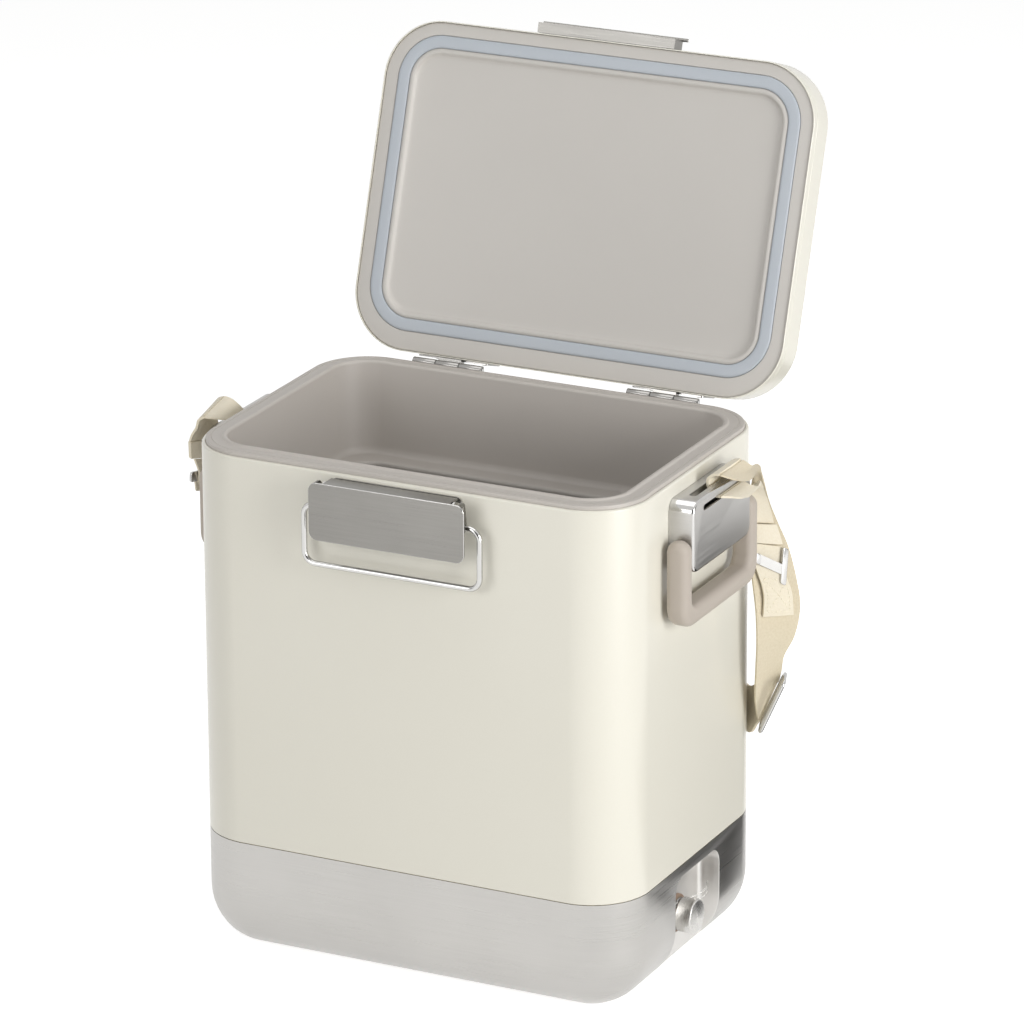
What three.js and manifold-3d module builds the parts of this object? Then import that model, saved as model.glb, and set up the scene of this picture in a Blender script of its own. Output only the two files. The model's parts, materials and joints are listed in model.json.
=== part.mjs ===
// A hard-sided steel cooler: a painted steel body on a brushed steel base, an insulated plastic tub,
// a hinged lid held open, a draw latch, two drop handles, a drain plug and a webbing shoulder strap.
// Millimetres, +X to the cooler's right, +Y to the back, +Z up. The origin is the centre of the base pad's underside.

import * as THREE from 'three';
import { mergeVertices } from 'three/addons/utils/BufferGeometryUtils.js';
import Module from 'manifold-3d';

const wasm = await Module();
wasm.setup();

// General clearances and facet counts
const clearance = 0.3;
const cutOverrun = 2;
const bodyCornerSteps = 7;
const smallCornerSteps = 4;
const rodSides = 12;
const screwSides = 8;
const edgeSteps = 2;
const strapSamples = 3;
const knobSides = 32;

// Body
const bodyWidth = 365;
const bodyDepth = 257.7;
const bodyCornerRadius = 47.2;
const sheetThickness = 0.9;
const padThickness = 1.2;
const padInset = 6;
const padCornerRadius = 10;
const seamHeight = 95.4;
const seamGap = 0.6;
const rimTop = 406.8;
const rimStep = 3;
const shellTop = rimTop - rimStep;
const baseEdgeRadius = 44;
const baseEdgeRise = 46;
const baseEdgeSteps = 6;

// Tub
const tubWall = 2.5;
const rimInset = 2.9;
const rimThickness = 4;
const rimGap = 0.4;
const rimSideWidth = 19;
const rimFrontWidth = 18.85;
const openingWidth = bodyWidth - 2 * rimSideWidth;
const openingDepth = bodyDepth - 2 * rimFrontWidth;
const openingRadius = 29;
const beadWidth = 4;
const beadHeight = 1.4;
const ledgeDepth = 73;
const ledgeWidth = 18.5;
const wellRadius = 20;
const wellFloor = 35;
const tubDraft = 2;

// Lid
const lidGap = 1.8;
const lidThickness = 30;
const lidEdgeRadius = 4;
const lidEdgeSteps = 3;
const lidOpenAngle = 108.5;
const lidLipDepth = 1.2;
const gasketSideBorder = 11.9;
const gasketFrontBorder = 10.85;
const gasketBackBorder = 15.85;
const gasketCentreBack = (gasketFrontBorder - gasketBackBorder) / 2;
const gasketOuterWidth = bodyWidth - 2 * gasketSideBorder;
const gasketOuterDepth = bodyDepth - gasketFrontBorder - gasketBackBorder;
const gasketCornerRadius = 36;
const gasketWidth = 10.3;
const gasketThickness = 3;
const gasketProud = 0.9;
const lidBeadWidth = 4.5;
const lidPanelDepth = 3;
const lidLinerThickness = 2.5;

// Hinges
const hingeStandoff = 5.65;
const hingeDrop = 2.9;
const hingeAxisBack = bodyDepth / 2 + hingeStandoff;
const hingeAxisHeight = rimTop - hingeDrop;
const hingeCentre = 91.5;
const hingeLength = 60;
const barrelRadius = 3.25;
const hingePinRadius = 1.6;
const leafThickness = 1.2;
const leafHeight = 24;
const knuckleCount = 3;

// Fasteners
const screwRadius = 2.6;
const screwHead = 1;
const screwShank = 1.4;
const screwLength = 7;
const rivetRadius = 2.4;
const rivetHead = 1;

// Latch
const latchPinOut = 12.2;
const latchPinDrop = 10.3;
const latchPinHeight = rimTop - latchPinDrop;
const latchPinRadius = 1.7;
const latchBaseHeight = 38;
const latchBaseThickness = 1.5;
const latchEarThickness = 1.5;
const latchEarRadius = 4.6;
const leverWidth = 128;
const leverOverhang = 10;
const latchBaseWidth = leverWidth - 2 * leverOverhang;
const leverHeight = 45;
const leverRise = 5;
const leverTop = latchPinHeight + leverRise;
const leverOut = 19.2;
const leverThickness = 1.5;
const leverCornerRadius = 7;
const leverFoldDepth = 15;
const leverFlangeInset = 5;
const leverFlangeCentre = leverWidth / 2 - leverFlangeInset;
const leverFlangeThickness = 1.4;
const bailPivotOut = 10.2;
const bailPivotDrop = 15;
const bailPivotHeight = latchPinHeight - bailPivotDrop;
const bailLength = 46.5;
const bailOverhang = 10.5;
const bailWidth = leverWidth + 2 * bailOverhang;
const bailWireRadius = 2.2;
const bailCornerRadius = 9;

// Keeper on the lid
const keeperInset = 6;
const keeperWidth = leverWidth - 2 * keeperInset;
const keeperReach = 8.3;
const keeperRise = 2.4;
const keeperHeight = 18;
const keeperSaddle = 14.6;
const keeperThickness = 1.2;
const keeperLip = 1.6;
const keeperFlare = 4;

// Side handles
const bracketWidth = 101.4;
const bracketDrop = 13.8;
const bracketHeight = 55;
const bracketTop = rimTop - bracketDrop;
const bracketBottom = bracketTop - bracketHeight;
const bracketReach = 20.5;
const bracketCornerRadius = 9;
const bracketEdge = 2.2;
const bracketWall = 1.5;
const slotHalfWidth = 33.5;
const slotDrop = 10.4;
const slotHeight = 4.6;
const slotBottom = bracketTop - slotDrop;
const topSlotNear = 8;
const topSlotWidth = 6;
const backPlateThickness = 1.5;
const backPlateScrewSpan = 60;
const backPlateRise = 6;
const backPlateBottom = bracketBottom + backPlateRise;
const backPlateHeight = 32;
const gripLegWidth = 13.8;
const gripLegGap = 0.5;
const gripHalfWidth = bracketWidth / 2 + gripLegGap + gripLegWidth;
const gripDrop = 27;
const gripHeight = 68.5;
const gripBarHeight = 15.5;
const gripTop = bracketTop - gripDrop;
const gripBottom = gripTop - gripHeight;
const gripThickness = 18;
const gripWallGap = 3.5;
const gripOuterRadius = 17;
const gripInnerRadius = 8;
const gripEdge = 6;
const gripPinRadius = 3;
const gripPinInLeg = 8;

// Drain
const recessCentreBack = 4;
const recessWidth = 78;
const recessDrop = 9.4;
const recessTop = seamHeight - recessDrop;
const recessBottom = -40;
const recessDepth = 17.5;
const recessRadius = 13;
const drainHeight = 44.5;
const drainBore = 7;
const spoutWall = 2.2;
const washerRadius = 15;
const washerThickness = 2.6;
const ringRadius = 12.6;
const ringThickness = 2.4;
const ringEarReach = 4.4;
const ringEarWidth = 5;
const knobRadius = 13.4;
const knobEdge = 0.9;
const knobProud = 1.7;
const stemRadius = 6.2;
const stemLength = 16;
const oringRadius = 0.8;
const oringFit = 0.1;
const tetherRadius = 0.7;

// Strap
const webThickness = 1.8;
const sleeveThickness = 3.6;
const strapWidth = 38.1;
const strapReach = 40;
const strapFall = 200;
const archRise = 9;
const strapBackOffset = 4.5;
const strapSag = 8;
const strapBackDrop = 221;
const strapBackHeight = bracketTop - strapBackDrop;
const hookThickness = 2.4;
const hookLength = 31;
const hookBar = 4.5;
const hookLugReach = strapFall / 50;
const hookUprightRise = strapFall / 15.4;
const hookUprightFall = strapFall / 13.4;
const sliderLength = 51;
const sliderWidth = 22;
const sliderBar = 3.4;
const sliderThickness = 3;

// Places on the strap, one pair of edge places for each station: [front edge, rear edge], each edge as
// [share of the strap's reach from the side, share of half the body's depth, share of the strap's fall
// from the top of the bracket]. Each of these lengths has a near part that belongs to the handle: the reach
// of its bracket, half its width and the drop to its top. Shares up to the ones here lie in the near part.
const nearReachShare = 0.5125;
const nearDepthShare = 0.5045;
const nearFallShare = 0.135;
const dropRightShares = [
  [[0.66, 0.08, 0.005], [0.63, 0.325, 0.01]],
  [[0.64, 0.265, -0.037], [0.59, 0.42, -0.005]],
  [[0.54, 0.405, -0.05], [0.54, 0.495, -0.025]],
  [[0.39, 0.52, -0.07], [0.49, 0.58, -0.095]],
  [[0.275, 0.56, -0.145], [0.49, 0.675, -0.205]],
  [[0.21, 0.567, -0.24], [0.59, 0.737, -0.305]],
  [[0.24, 0.567, -0.375], [0.71, 0.785, -0.395]],
  [[0.31, 0.563, -0.495], [0.865, 0.803, -0.525]],
  [[0.39, 0.563, -0.625], [0.95, 0.803, -0.635]],
  [[0.41, 0.567, -0.75], [0.875, 0.78, -0.75]],
  [[0.375, 0.582, -0.855], [0.69, 0.757, -0.835]],
  [[0.29, 0.63, -1.0], [0.67, 0.735, -0.905]],
  [[0.275, 0.68, -1.085], [0.64, 0.714, -0.93]],
];
const tailRightShares = [
  [[0.66, 0.016, -0.05], [0.64, 0.28, -0.055]],
  [[0.76, 0.125, -0.072], [0.71, 0.35, -0.075]],
  [[0.66, 0.295, -0.09], [0.64, 0.435, -0.083]],
  [[0.51, 0.435, -0.095], [0.54, 0.512, -0.09]],
  [[0.36, 0.524, -0.118], [0.51, 0.59, -0.145]],
  [[0.287, 0.532, -0.185], [0.54, 0.652, -0.23]],
  [[0.27, 0.536, -0.265], [0.557, 0.687, -0.29]],
];
const sleeveRightShares = [
  [[0.263, 0.536, -0.27], [0.588, 0.692, -0.297]],
  [[0.295, 0.536, -0.343], [0.688, 0.714, -0.377]],
];
const linkRightShares = [
  [[0.307, 0.561, -0.352], [0.665, 0.724, -0.39]],
  [[0.315, 0.558, -0.41], [0.69, 0.72, -0.465]],
];
const hookRightShares = [[0.393, 0.545, -0.404], [0.8, 0.716, -0.484]];
const patchRightShares = [
  [[0.337, 0.553, -0.42], [0.71, 0.714, -0.475]],
  [[0.5, 0.59, -0.55], [0.863, 0.742, -0.57]],
  [[0.512, 0.581, -0.645], [0.902, 0.741, -0.658]],
];
const loopLeftShares = [
  [[0.278, -0.258, 0.009], [0.278, -0.07, 0.018]],
  [[0.313, -0.303, 0.023], [0.325, -0.101, 0.043]],
  [[0.438, -0.357, 0.035], [0.438, -0.116, 0.064]],
  [[0.575, -0.373, 0.038], [0.575, -0.12, 0.071]],
];
const dropLeftShares = [
  [[0.6, -0.14, -0.048], [0.6, 0.15, -0.04]],
  [[0.66, 0.1, -0.072], [0.64, 0.32, -0.035]],
  [[0.59, 0.39, -0.085], [0.59, 0.497, -0.04]],
  [[0.41, 0.52, -0.09], [0.51, 0.598, -0.125]],
  [[0.287, 0.55, -0.165], [0.51, 0.683, -0.235]],
  [[0.21, 0.56, -0.325], [0.54, 0.776, -0.365]],
  [[0.19, 0.56, -0.565], [0.54, 0.815, -0.585]],
  [[0.15, 0.6, -0.805], [0.36, 0.846, -0.765]],
  [[0.113, 0.667, -0.99], [0.19, 0.869, -0.905]],
  [[0.05, 0.768, -1.11], [0.03, 0.857, -0.965]],
  [[-0.15, 0.876, -1.2], [-0.15, 0.876, -1.012]],
];
const tailLeftShares = [
  [[0.588, -0.373, 0.038], [0.588, -0.12, 0.07]],
  [[0.7, -0.377, 0.023], [0.713, -0.12, 0.06]],
  [[0.75, -0.377, -0.008], [0.8, -0.12, 0.03]],
  [[0.85, -0.377, -0.04], [0.775, -0.118, -0.02]],
  [[0.908, -0.374, -0.068], [0.688, -0.113, -0.087]],
];
const sleeveLeftShares = [
  [[0.911, -0.374, -0.0705], [0.685, -0.113, -0.09]],
  [[0.927, -0.362, -0.138], [0.67, -0.11, -0.162]],
];
const linkLeftShares = [
  [[0.887, -0.334, -0.146], [0.72, -0.17, -0.166]],
  [[0.85, -0.314, -0.18], [0.725, -0.185, -0.195]],
];
const hookLeftShares = [[0.925, -0.365, -0.214], [0.738, -0.132, -0.225]];
const patchLeftShares = [
  [[0.912, -0.322, -0.235], [0.76, -0.185, -0.245]],
  [[0.925, -0.303, -0.28], [0.77, -0.18, -0.29]],
];
const hookLeanShares = [0.15, -0.1, -1];
const sliderShares = [[0.362, 0.703, -1.103], [0.742, 0.703, -0.933]];
const sliderLeanShares = [-0.45, 0.75, -0.3];
const backStartShares = [
  [[0.27, 0.71, -1.1], [0.6, 0.735, -0.935]],
  [[0.1, 0.79, -1.14], [0.2, 0.815, -0.96]],
];
const backTurnShares = [0.42, 0.66, 0.9];
const backSpanShares = [0.7, 0.25, -0.25, -0.7];
const tetherShares = [[0, 0, 0], [0.25, 0.2, 0.1], [0.55, 0.3, 0.2], [0.85, 0.2, 0.25], [1, 0.12, 0.22]];

// Places worked out from the sizes above
const sideFace = bodyWidth / 2;
const backFace = bodyDepth / 2;
const lidBottom = rimTop + lidGap;
const lidTop = lidBottom + lidThickness;
const frontFace = -backFace;
const ledgeHeight = rimTop - ledgeDepth;
const wellWidth = openingWidth - 2 * ledgeWidth;
const wellDepth = openingDepth - 2 * ledgeWidth;
const recessFace = sideFace - recessDepth;

// Finishes
function finish(color, roughness, metalness) {
  return { color, roughness, metalness };
}
const creamPaint = finish('#dedac9', 0.35, 0.1);
const brushedSteel = finish('#b5b3b0', 0.35, 1);
const polishedSteel = finish('#c9c8c6', 0.12, 1);
const taupePlastic = finish('#b9b0a6', 0.5, 0);
const taupeGrip = finish('#b4a99f', 0.55, 0);
const gasketRubber = finish('#b9c3cf', 0.5, 0);
const drainRubber = finish('#a08a76', 0.7, 0);
const blackRubber = finish('#2c2b2a', 0.8, 0);
const foam = finish('#e8dcb4', 0.9, 0);
const webbing = finish('#e3dcc6', 0.85, 0);
const clearPlastic = finish('#d9d9d6', 0.2, 0);

// Booleans and meshes. Every mesh is merged, cleared of collapsed faces and turned to face outwards.
const mergeReach = 1e-4;
function plain(geometry) {
  const bare = geometry.index ? geometry.toNonIndexed() : geometry.clone();
  for (const name of Object.keys(bare.attributes)) {
    if (name !== 'position') bare.deleteAttribute(name);
  }
  const merged = mergeVertices(bare, mergeReach);
  const places = merged.attributes.position;
  const old = merged.index.array;
  const faces = [];
  let volume = 0;
  const corner = (i) => new THREE.Vector3().fromBufferAttribute(places, i);
  for (let i = 0; i < old.length; i += 3) {
    const [a, b, c] = [old[i], old[i + 1], old[i + 2]];
    if (a === b || b === c || c === a) continue;
    faces.push([a, b, c]);
    volume += corner(a).dot(corner(b).cross(corner(c)));
  }
  merged.setIndex(faces.flatMap(([a, b, c]) => (volume < 0 ? [a, c, b] : [a, b, c])));
  return merged;
}

function solidOf(geometry) {
  const bare = plain(geometry);
  return new wasm.Manifold(new wasm.Mesh({
    numProp: 3,
    vertProperties: Float32Array.from(bare.attributes.position.array),
    triVerts: Uint32Array.from(bare.index.array),
  }));
}

function geometryOf(solid) {
  const mesh = solid.getMesh();
  const geometry = new THREE.BufferGeometry();
  const count = mesh.vertProperties.length / mesh.numProp;
  const places = new Float32Array(count * 3);
  for (let i = 0; i < count; i++) {
    for (let k = 0; k < 3; k++) places[3 * i + k] = mesh.vertProperties[mesh.numProp * i + k];
  }
  geometry.setAttribute('position', new THREE.BufferAttribute(places, 3));
  geometry.setIndex(new THREE.BufferAttribute(Uint32Array.from(mesh.triVerts), 1));
  return geometry;
}

function cut(geometry, ...tools) {
  let solid = solidOf(geometry);
  for (const tool of tools) solid = solid.subtract(solidOf(tool));
  return geometryOf(solid);
}

function join(...geometries) {
  let solid = solidOf(geometries[0]);
  for (const other of geometries.slice(1)) solid = solid.add(solidOf(other));
  return geometryOf(solid);
}

function common(geometry, other) {
  return geometryOf(solidOf(geometry).intersect(solidOf(other)));
}

// Outlines and lofts
function roundedOutline(width, height, radius, steps) {
  const points = [];
  const corners = [[1, 1, 0], [-1, 1, 1], [-1, -1, 2], [1, -1, 3]];
  for (const [sx, sy, quarter] of corners) {
    for (let i = 0; i <= steps; i++) {
      const angle = (quarter + i / steps) * Math.PI / 2;
      const x = sx * (width / 2 - radius) + radius * Math.cos(angle);
      const y = sy * (height / 2 - radius) + radius * Math.sin(angle);
      points.push(new THREE.Vector2(x, y));
    }
  }
  return points;
}

function ring(width, depth, radius, z, back = 0) {
  return roundedOutline(width, depth, radius, bodyCornerSteps).map((p) => new THREE.Vector3(p.x, p.y + back, z));
}

function bodyRing(inset, z) {
  return ring(bodyWidth - 2 * inset, bodyDepth - 2 * inset, bodyCornerRadius - inset, z);
}

// Skins rings of equal count, in order. A closed loft joins its last ring to its first and has no caps.
function loft(rings, closed = false) {
  const count = rings[0].length;
  const places = [];
  const faces = [];
  for (const points of rings) for (const p of points) places.push(p.x, p.y, p.z);
  const spans = closed ? rings.length : rings.length - 1;
  for (let r = 0; r < spans; r++) {
    const low = r * count;
    const high = ((r + 1) % rings.length) * count;
    for (let i = 0; i < count; i++) {
      const j = (i + 1) % count;
      faces.push(low + i, low + j, high + j, low + i, high + j, high + i);
    }
  }
  if (!closed) {
    const last = (rings.length - 1) * count;
    for (let i = 1; i < count - 1; i++) {
      faces.push(0, i + 1, i);
      faces.push(last, last + i, last + i + 1);
    }
  }
  const geometry = new THREE.BufferGeometry();
  geometry.setAttribute('position', new THREE.Float32BufferAttribute(places, 3));
  geometry.setIndex(faces);
  return geometry;
}

// Extrudes a shape between two places along an axis. Across X the shape's own axes are Y and Z,
// across Y they are X and Z.
function extrude(axis, shape, from, to, edge = 0, curveSegments = smallCornerSteps) {
  const options = { depth: to - from - 2 * edge, bevelEnabled: edge > 0, steps: 1, curveSegments };
  if (edge > 0) {
    options.bevelThickness = edge;
    options.bevelSize = edge;
    options.bevelOffset = -edge;
    options.bevelSegments = edgeSteps;
  }
  const geometry = new THREE.ExtrudeGeometry(shape, options);
  geometry.translate(0, 0, edge);
  const turn = new THREE.Matrix4();
  const x = new THREE.Vector3(1, 0, 0);
  const y = new THREE.Vector3(0, 1, 0);
  const z = new THREE.Vector3(0, 0, 1);
  if (axis === 'x') turn.makeBasis(y, z, x);
  if (axis === 'y') turn.makeBasis(x, z, y.clone().negate());
  geometry.applyMatrix4(turn);
  return axis === 'x' ? geometry.translate(from, 0, 0) : geometry.translate(0, to, 0);
}

function roundedPlate(axis, width, height, radius, from, to, edge = 0) {
  const outline = roundedOutline(width, height, radius, smallCornerSteps);
  return extrude(axis, new THREE.Shape(outline), from, to, edge);
}

function block(x0, x1, y0, y1, z0, z1) {
  const geometry = new THREE.BoxGeometry(x1 - x0, y1 - y0, z1 - z0);
  return geometry.translate((x0 + x1) / 2, (y0 + y1) / 2, (z0 + z1) / 2);
}

// A round rod along X or Y between two places, through the other two coordinates of its centre
function rod(axis, radius, from, to, centre, sides = rodSides) {
  const geometry = new THREE.CylinderGeometry(radius, radius, to - from, sides);
  const middle = (from + to) / 2;
  if (axis === 'x') return geometry.rotateZ(-Math.PI / 2).translate(middle, centre[0], centre[1]);
  return geometry.translate(centre[0], middle, centre[1]);
}

// Turns a profile of [along, radius] points round a line that runs along X
function turned(profile, centreY, centreZ, sides = knobSides) {
  const points = profile.map(([along, radius]) => new THREE.Vector2(radius, along));
  return new THREE.LatheGeometry(points, sides).rotateZ(-Math.PI / 2).translate(0, centreY, centreZ);
}

// Rounds the inner corners of a polyline with arcs
function filleted(points, radius, steps) {
  const path = [points[0]];
  for (let i = 1; i < points.length - 1; i++) {
    const back = points[i - 1].clone().sub(points[i]).normalize();
    const ahead = points[i + 1].clone().sub(points[i]).normalize();
    const half = back.angleTo(ahead) / 2;
    const reach = radius / Math.tan(half);
    const centre = back.clone().add(ahead).normalize().multiplyScalar(radius / Math.sin(half)).add(points[i]);
    const start = points[i].clone().addScaledVector(back, reach).sub(centre);
    const end = points[i].clone().addScaledVector(ahead, reach).sub(centre);
    const sweep = start.angleTo(end);
    const axis = start.clone().cross(end).normalize();
    for (let k = 0; k <= steps; k++) {
      path.push(start.clone().applyAxisAngle(axis, sweep * k / steps).add(centre));
    }
  }
  path.push(points[points.length - 1]);
  return path;
}

// A round wire along points, its section carried along without twist
function wire(points, radius, sides) {
  const rings = [];
  let side = new THREE.Vector3(0, 1, 0);
  for (let i = 0; i < points.length; i++) {
    const before = points[Math.max(i - 1, 0)];
    const after = points[Math.min(i + 1, points.length - 1)];
    const along = after.clone().sub(before).normalize();
    if (i === 0 && Math.abs(along.y) > 0.9) side = new THREE.Vector3(0, 0, 1);
    side = side.clone().addScaledVector(along, -side.dot(along)).normalize();
    const other = along.clone().cross(side);
    const section = [];
    for (let k = 0; k < sides; k++) {
      const angle = 2 * Math.PI * k / sides;
      section.push(points[i].clone()
        .addScaledVector(side, radius * Math.cos(angle))
        .addScaledVector(other, radius * Math.sin(angle)));
    }
    rings.push(section);
  }
  return loft(rings);
}

// A flat band between two edges given as [front, rear] pairs, smoothed through its stations
function ribbon(stations, thickness = webThickness) {
  const count = (stations.length - 1) * strapSamples;
  const edge = (k) => new THREE.CatmullRomCurve3(stations.map((pair) => pair[k]), false, 'centripetal').getPoints(count);
  const front = edge(0);
  const rear = edge(1);
  const rings = [];
  for (let i = 0; i <= count; i++) {
    const a = Math.max(i - 1, 0);
    const b = Math.min(i + 1, count);
    const along = front[b].clone().add(rear[b]).sub(front[a]).sub(rear[a]).normalize();
    const across = rear[i].clone().sub(front[i]).normalize();
    const normal = along.clone().cross(across).normalize().multiplyScalar(thickness / 2);
    rings.push([
      front[i].clone().sub(normal),
      rear[i].clone().sub(normal),
      rear[i].clone().add(normal),
      front[i].clone().add(normal),
    ]);
  }
  return loft(rings);
}

function mirrored(geometry) {
  return plain(geometry).scale(-1, 1, 1);
}

function sided(geometry, side) {
  return side > 0 ? geometry : mirrored(geometry);
}

// A screw or a rivet: the underside of its head at the seat, its shank running the other way
function fastener(axis, seat, direction, place, head, headRadius, length) {
  const headEnd = seat + direction * head;
  const shankEnd = seat - direction * length;
  const cap = rod(axis, headRadius, Math.min(seat, headEnd), Math.max(seat, headEnd), place, screwSides);
  const shank = rod(axis, screwShank, Math.min(shankEnd, headEnd), Math.max(shankEnd, headEnd), place, screwSides);
  return join(cap, shank);
}

function screwHoles(axis, places, from, to) {
  return places.map((place) => rod(axis, screwShank + clearance, from, to, place, screwSides));
}

// Places of the fasteners, as [X, Z] on the front and back and [Y, Z] on the sides
const latchPin = [frontFace - latchPinOut, latchPinHeight];
const bailPivot = [frontFace - bailPivotOut, bailPivotHeight];
const hingeAxis = [hingeAxisBack, hingeAxisHeight];
const latchBaseTop = latchPinHeight + latchEarRadius;
const keeperBottom = lidBottom + keeperRise;
const lidLeafBottom = lidBottom + lidEdgeRadius / 2;
const bodyLeafTop = hingeAxisHeight - barrelRadius - clearance;
const backPlateMiddle = backPlateBottom + backPlateHeight / 2;

function pair(half, height) {
  return [-1, 1].map((side) => [side * half, height]);
}

function hingeScrewPlaces(centre, middle) {
  return [
    [centre - hingeLength / 3, middle + leafHeight / 5],
    [centre + hingeLength / 3, middle + leafHeight / 5],
    [centre, middle - leafHeight / 5],
  ];
}

const latchRivetPlaces = pair(latchBaseWidth / 3, latchBaseTop - latchBaseHeight / 2);
const keeperRivetPlaces = pair(keeperWidth / 3, keeperBottom + keeperSaddle / 2);
const bodyLeafMiddle = bodyLeafTop - leafHeight / 2;
const lidLeafMiddle = lidLeafBottom + leafHeight / 2;
const bodyHingePlaces = [-1, 1].flatMap((side) => hingeScrewPlaces(side * hingeCentre, bodyLeafMiddle));
const lidHingePlaces = [-1, 1].flatMap((side) => hingeScrewPlaces(side * hingeCentre, lidLeafMiddle));
const bracketPlaces = pair(backPlateScrewSpan / 2, backPlateMiddle);

function bodyHoles() {
  const reach = screwLength + cutOverrun;
  return [
    ...screwHoles('y', latchRivetPlaces, frontFace - cutOverrun, frontFace + reach),
    ...screwHoles('y', bodyHingePlaces, backFace - reach, backFace + cutOverrun),
    ...screwHoles('x', bracketPlaces, sideFace - reach, sideFace + cutOverrun),
    ...screwHoles('x', bracketPlaces, -sideFace - cutOverrun, -sideFace + reach),
  ];
}

function lidHoles() {
  const reach = screwLength + cutOverrun;
  return [
    ...screwHoles('y', keeperRivetPlaces, frontFace - cutOverrun, frontFace + reach),
    ...screwHoles('y', lidHingePlaces, backFace - reach, backFace + cutOverrun),
  ];
}

// Base pad: a thin rubber sheet on the flat underside that the cooler stands on
function basePad() {
  const inset = baseEdgeRadius + padInset;
  const outline = (z) => ring(bodyWidth - 2 * inset, bodyDepth - 2 * inset, padCornerRadius, z);
  return loft([outline(0), outline(padThickness)]);
}

// Base tray: a drawn steel bowl with a large rounded bottom edge and a pressed recess for the drain
const trayBottom = padThickness + clearance;

function bowl(inset, bottom, top) {
  const sweep = baseEdgeRadius - inset;
  const rings = [];
  for (let i = 0; i <= baseEdgeSteps; i++) {
    const angle = (i / baseEdgeSteps) * Math.PI / 2;
    rings.push(bodyRing(inset + sweep * (1 - Math.sin(angle)), bottom + baseEdgeRise * (1 - Math.cos(angle))));
  }
  rings.push(bodyRing(inset, top));
  return loft(rings);
}

function recess(grow, from, to) {
  const width = recessWidth + 2 * grow;
  const height = recessTop - recessBottom + 2 * grow;
  const plate = roundedPlate('x', width, height, recessRadius + grow, from, to);
  return plate.translate(0, recessCentreBack, (recessTop + recessBottom) / 2);
}

function baseTray() {
  const outer = bowl(0, trayBottom, seamHeight);
  const inner = bowl(sheetThickness, trayBottom + sheetThickness, seamHeight + cutOverrun);
  const pocket = common(recess(sheetThickness, recessFace - sheetThickness, sideFace), outer);
  const open = recess(0, recessFace, sideFace + cutOverrun);
  const bore = rod('x', drainBore + spoutWall + clearance, recessFace - cutOverrun, recessFace + cutOverrun,
    [0, drainHeight], knobSides);
  return cut(join(cut(outer, inner), pocket), open, bore);
}

// Outer shell: a painted steel sleeve with its top edge turned in
function outerShell() {
  const bottom = seamHeight + seamGap;
  const lip = rimInset - rimGap;
  const sleeve = loft([
    bodyRing(0, bottom),
    bodyRing(0, shellTop - sheetThickness),
    bodyRing(sheetThickness / 2, shellTop),
    bodyRing(lip, shellTop),
    bodyRing(lip, shellTop - sheetThickness),
    bodyRing(sheetThickness, shellTop - 2 * sheetThickness),
    bodyRing(sheetThickness, bottom),
  ], true);
  return cut(sleeve, ...bodyHoles());
}

// Tub: rim flange, bead, upper cavity, ledge and the deeper well
function tubSide(grow) {
  const ledge = ledgeHeight - grow;
  const floor = wellFloor - grow;
  const opening = (inset, z) => ring(openingWidth + 2 * (grow - inset), openingDepth + 2 * (grow - inset),
    openingRadius + grow - inset, z);
  const well = (inset, z) => ring(wellWidth + 2 * (grow - inset), wellDepth + 2 * (grow - inset),
    wellRadius + grow - inset, z);
  return [
    opening(tubDraft, ledge + tubDraft),
    opening(2 * tubDraft, ledge),
    well(0, ledge),
    well(tubDraft, ledge - tubDraft),
    well(tubDraft, floor + tubDraft),
    well(2 * tubDraft, floor),
  ];
}

function openingRing(grow, z) {
  return ring(openingWidth + 2 * grow, openingDepth + 2 * grow, openingRadius + grow, z);
}

function innerTub() {
  const flangeBottom = rimTop - rimThickness;
  const beadTop = rimTop + beadHeight;
  const tub = loft([
    ...tubSide(tubWall).reverse(),
    openingRing(tubWall, flangeBottom),
    bodyRing(rimInset, flangeBottom),
    bodyRing(rimInset, rimTop - rimGap),
    bodyRing(rimInset + rimGap, rimTop),
    openingRing(beadWidth, rimTop),
    openingRing(beadWidth - rimGap, beadTop - rimGap),
    openingRing(beadWidth - 2 * rimGap, beadTop),
    openingRing(2 * rimGap, beadTop),
    openingRing(0, beadTop - 2 * rimGap),
    ...tubSide(0),
  ]);
  const boreStart = wellWidth / 2 - 2 * tubDraft;
  const bore = rod('x', drainBore, boreStart, wellWidth / 2 + cutOverrun, [0, drainHeight], knobSides);
  return cut(tub, bore);
}

// Foam between the steel and the tub
const foamSkin = sheetThickness + clearance;
const spoutStart = wellWidth / 2 - tubDraft + tubWall + clearance;

function foamCore() {
  const bottom = trayBottom + foamSkin;
  const top = shellTop - 2 * sheetThickness - clearance;
  const grow = tubWall + clearance;
  const hollow = loft([...tubSide(grow).reverse(), openingRing(grow, top + cutOverrun)]);
  const pocket = recess(foamSkin, recessFace - foamSkin, sideFace + cutOverrun);
  const bore = rod('x', drainBore + spoutWall + clearance, spoutStart - cutOverrun, recessFace, [0, drainHeight],
    knobSides);
  return cut(bowl(foamSkin, bottom, top), hollow, pocket, bore, ...bodyHoles());
}

// Drain: spout through the wall, rubber washer, tether ring, knob on its stem and the ring seal
function tubeAlong(start, end, inner, outer) {
  return turned([[start, inner], [start, outer], [end, outer], [end, inner], [start, inner]], 0, drainHeight);
}

function drainSpout() {
  return tubeAlong(spoutStart, recessFace, drainBore, drainBore + spoutWall);
}

function drainWasher() {
  const start = recessFace + clearance;
  return tubeAlong(start, start + washerThickness, drainBore, washerRadius);
}

const sealReach = drainBore - oringFit - oringRadius;
const ringStart = recessFace + washerThickness + 2 * clearance;
const ringEnd = ringStart + ringThickness;
const earEnd = ringRadius + ringEarReach;
const earHeight = drainHeight + ringEarWidth;

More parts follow.
